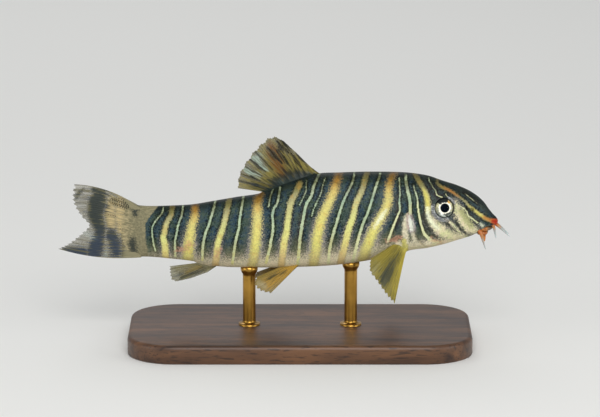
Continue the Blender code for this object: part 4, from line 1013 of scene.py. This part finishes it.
# Root end, depth of the dashes, alpha of the web inside and at the edge, sight heights between
# which the dark pigment turns from its low to its high shade, tones of the root, of the rays
# from root to tip and of the web, then the pigments: dark low down and higher up, reddish or
# yellow, whitish, and the fine streaks.
FIN_LOOKS = {
    "dorsal": (0.2, 0.1, 0.93, 0.5, (16.5, 19.0), ("#19231f", "#384438"), ("#6b5c30", "#54523a"),
               ("#544d24", "#948846"), ("#142021", "#191a10"), "#6f4010", "#9fb3a4", "#131409"),
    "anal": (0.14, 0.1, 0.72, 0.4, (5.0, 8.0), ("#7d7a5c", "#a39e78"), ("#9f9262", "#6f6b4c"),
             ("#6b6744", "#8f875a"), ("#3d4036", "#3d4036"), "#8f7838", "#b0ae92", "#2a2a1e"),
    "caudal": (0.27, 0.8, 0.6, 0.2, (5.0, 8.0), ("#7b775d", "#968e6e"), ("#c6b88c", "#4a4a34"),
               ("#5d5b42", "#8f8460"), ("#17304a", "#1b2c33"), "#ccb786", "#b4bcae", "#17160e"),
    "pectoral": (0.12, 0.1, 0.9, 0.78, (5.0, 8.0), ("#a49c4e", "#c4bc62"), ("#ab9a3c", "#8a7c30"),
                 ("#6d6424", "#998a30"), ("#30362b", "#30362b"), "#b3a235", "#8d8758", "#25261a"),
    "pelvic": (0.12, 0.1, 0.85, 0.6, (5.0, 8.0), ("#a58f48", "#c2ab5e"), ("#b4984a", "#8f7c44"),
               ("#7a682f", "#a08944"), ("#4f4726", "#4f4726"), "#b98c2c", "#ab9f74", "#35301c"),
}
for kind, shape in FINS.items():
    web_finish = membrane(kind + "_membrane", *FIN_LOOKS[kind])
    paired = kind in ("pectoral", "pelvic")
    solids = ("caudal_fin_upper", "caudal_fin_lower") if kind == "caudal" else (kind + "_fin",)
    for end, hand in (("_left", 1), ("_right", -1)) if paired else (("", 1),):
        name = "fin_" + kind + end
        fit(name, fin_sheet(name, PIGMENT[kind], hand, **shape), web_finish, "fin",
            *(solid + end for solid in solids))


# Stand. A museum plate of oiled walnut with a rounded edge, and two turned brass rods that are
# let into it and end in small cups under the belly.
BASE_HALF, BASE_THICK, BASE_CORNER, EDGE_ROUND = (32.0, 17.0), 3.5, 9.0, 0.8
CORNER_STEPS = 24
quarter = np.linspace(0, math.pi / 2, CORNER_STEPS)
turn = np.concatenate([quarter + k * math.pi / 2 for k in range(4)])
corner = np.stack(((BASE_HALF[0] - BASE_CORNER) * np.repeat((1, -1, -1, 1), CORNER_STEPS),
                   (BASE_HALF[1] - BASE_CORNER) * np.repeat((1, 1, -1, -1), CORNER_STEPS)), -1)
# Each level of the plate is how far it stands in from the outline, and its height.
profile = [(0.6, 0.0), (0.2, 0.0), (0.0, 0.25)]
profile += [(EDGE_ROUND * (1 - math.cos(r)), BASE_THICK - EDGE_ROUND * (1 - math.sin(r)))
            for r in np.linspace(0, math.pi / 2, 9)]
profile += [(EDGE_ROUND + 0.3, BASE_THICK)]
loops = np.array([np.column_stack((corner + (BASE_CORNER - inset) * np.stack(
    (np.cos(turn), np.sin(turn)), -1), np.full(len(turn), level))) for inset, level in profile])
base_mesh = closed_surface("walnut_base", loops, (0, 0, 0.0), (0, 0, BASE_THICK))

# Oiled walnut: brown heartwood with darker growth bands a few millimetres apart along the
# length, short open pores, and a soft sheen.
walnut, tree, shader = finish("oiled_walnut", {
    "Roughness": 0.45, "IOR": 1.5, "Coat Weight": 0.1, "Coat Roughness": 0.3})
where = add(tree, "TexCoord", {}, "Object")
along_grain = add(tree, "Mapping", {0: where, 3: (0.12, 1.0, 1.0)})
bands = add(tree, "TexNoise", {"Vector": along_grain, "Scale": 1 / (2.6 * MM), "Detail": 4.0,
                               "Distortion": 0.6})
pores = add(tree, "TexNoise", {"Vector": along_grain, "Scale": 1 / (0.3 * MM)})
wood = add(tree, "ValToRGB", (bands,), stops=((0.3, "#2f1c12"), (0.7, "#6f4a2d")))
wood = coat(tree, wood, "#22140c", pores, -0.6, 0.05, 0.7)
dress(tree, shader, wood, pores, 0.05, 0.25, invert=True)
fit("walnut_base", base_mesh, walnut, "base", "stand_base")

# Turned brass: a warm yellow metal with fine rings left by the tool, a little dulled by touch.
brass, tree, shader = finish("turned_brass", {"Metallic": 1.0, "Roughness": 0.28})
where = add(tree, "TexCoord", {}, "Object")
rings_only = add(tree, "Mapping", {0: where, 3: (0.02, 0.02, 1.0)})
tool_marks = add(tree, "TexNoise", {"Vector": rings_only, "Scale": 1 / (0.12 * MM)})
touch = add(tree, "TexNoise", {"Vector": where, "Scale": 1 / (2.0 * MM)})
dress(tree, shader, tone(tree, (touch, "#c79a48", "#8f6a2c")), tool_marks, 0.02, 0.2)

# A rod is turned from (radius, height) levels: a foot let into the plate, a collar that flows
# into the shaft, and a cup under the belly.
ROD_RADIUS, FOOT_RADIUS, FOOT_TOP, ROD_AROUND = 1.2, 2.0, BASE_THICK + 0.35, 48
turn = np.linspace(0, 2 * math.pi, ROD_AROUND, endpoint=False)
for word, x in (("front", 9.5), ("rear", -9.5)):
    top = BELLY_Z + float(station(SNOUT_X - x, 2))
    profile = [(0.9, BASE_THICK - 0.4), (FOOT_RADIUS, BASE_THICK - 0.4), (FOOT_RADIUS, FOOT_TOP)]
    profile += [(ROD_RADIUS + (FOOT_RADIUS - ROD_RADIUS) * (1 - math.sin(r)) ** 1.5,
                 FOOT_TOP + 0.6 * (1 - math.cos(r))) for r in np.linspace(0, math.pi / 2, 8)]
    profile += [(ROD_RADIUS, level) for level in np.linspace(BASE_THICK + 1.5, top - 1.6, 6)]
    profile += [(1.25, top - 1.2), (1.5, top - 0.8), (1.62, top - 0.35), (1.6, top + 0.1),
                (1.2, top + 0.4)]
    loops = np.array([np.stack((x + radius * np.cos(turn), radius * np.sin(turn),
                                np.full(ROD_AROUND, level)), -1) for radius, level in profile])
    rod_mesh = closed_surface("brass_rod_" + word, loops, (x, 0, profile[0][1]),
                              (x, 0, profile[-1][1]))
    fit("brass_rod_" + word, rod_mesh, brass, "rod", "stand_rod_" + word)


# Studio. A plain pale floor, soft daylight lamps and a long lens, level with the display and
# looking slightly down, as the photograph does.
floor_mesh = bpy.data.meshes.new("studio_floor")
floor_mesh.from_pydata([(-4, -4, 0), (4, -4, 0), (4, 4, 0), (-4, 4, 0)], [], [(0, 1, 2, 3)])
floor = bpy.data.objects.new("studio_floor", floor_mesh)
bpy.context.scene.collection.objects.link(floor)
card, tree, shader = finish("pale_card", {"Roughness": 0.9, "Base Color": paint("#f1f0ec")})
floor_mesh.materials.append(card)

world = bpy.data.worlds.new("studio_air")
world.use_nodes = True
world.node_tree.nodes["Background"].inputs["Color"].default_value = paint("#eef1f4")
world.node_tree.nodes["Background"].inputs["Strength"].default_value = 0.45
bpy.context.scene.world = world

# Name, place and size in metres, watts; all of them aim at the fish.
LAMPS = (("key", (0.05, -0.58, 0.4), 0.4, 2.8), ("front", (0.8, -0.4, 0.2), 0.5, 2.0),
         ("rear", (-0.8, -0.4, 0.2), 0.5, 1.6), ("back", (-0.1, 0.5, 0.5), 0.4, 0.8))
LAMP_AIM = Vector((0.0, 0.0, 0.022))
for name, spot, size, watts in LAMPS:
    lamp = bpy.data.lights.new(name, "AREA")
    lamp.size, lamp.energy = size, watts
    made = bpy.data.objects.new(name, lamp)
    made.location = spot
    made.rotation_euler = (LAMP_AIM - Vector(spot)).to_track_quat("-Z", "Y").to_euler()
    bpy.context.scene.collection.objects.link(made)

FAR = 0.7                         # camera distance in metres
VIEW_WIDE = 0.1118                # width of the photograph at the fish, in metres
VIEW_MIDDLE = 0.0257              # height of the middle of the view, in metres
SENSOR = 36.0
camera = bpy.data.cameras.new("camera")
camera.sensor_width = SENSOR
camera.lens = SENSOR * FAR / VIEW_WIDE
camera.clip_start, camera.clip_end = 0.01, 20.0
view = bpy.data.objects.new("camera", camera)
sight_line = Vector((0.0, math.cos(SIGHT_DOWN), -math.sin(SIGHT_DOWN)))
view.location = Vector((0.0, 0.0, VIEW_MIDDLE)) - sight_line * FAR
view.rotation_euler = sight_line.to_track_quat("-Z", "Y").to_euler()
bpy.context.scene.collection.objects.link(view)
bpy.context.scene.camera = view
bpy.context.scene.view_settings.view_transform = "Standard"
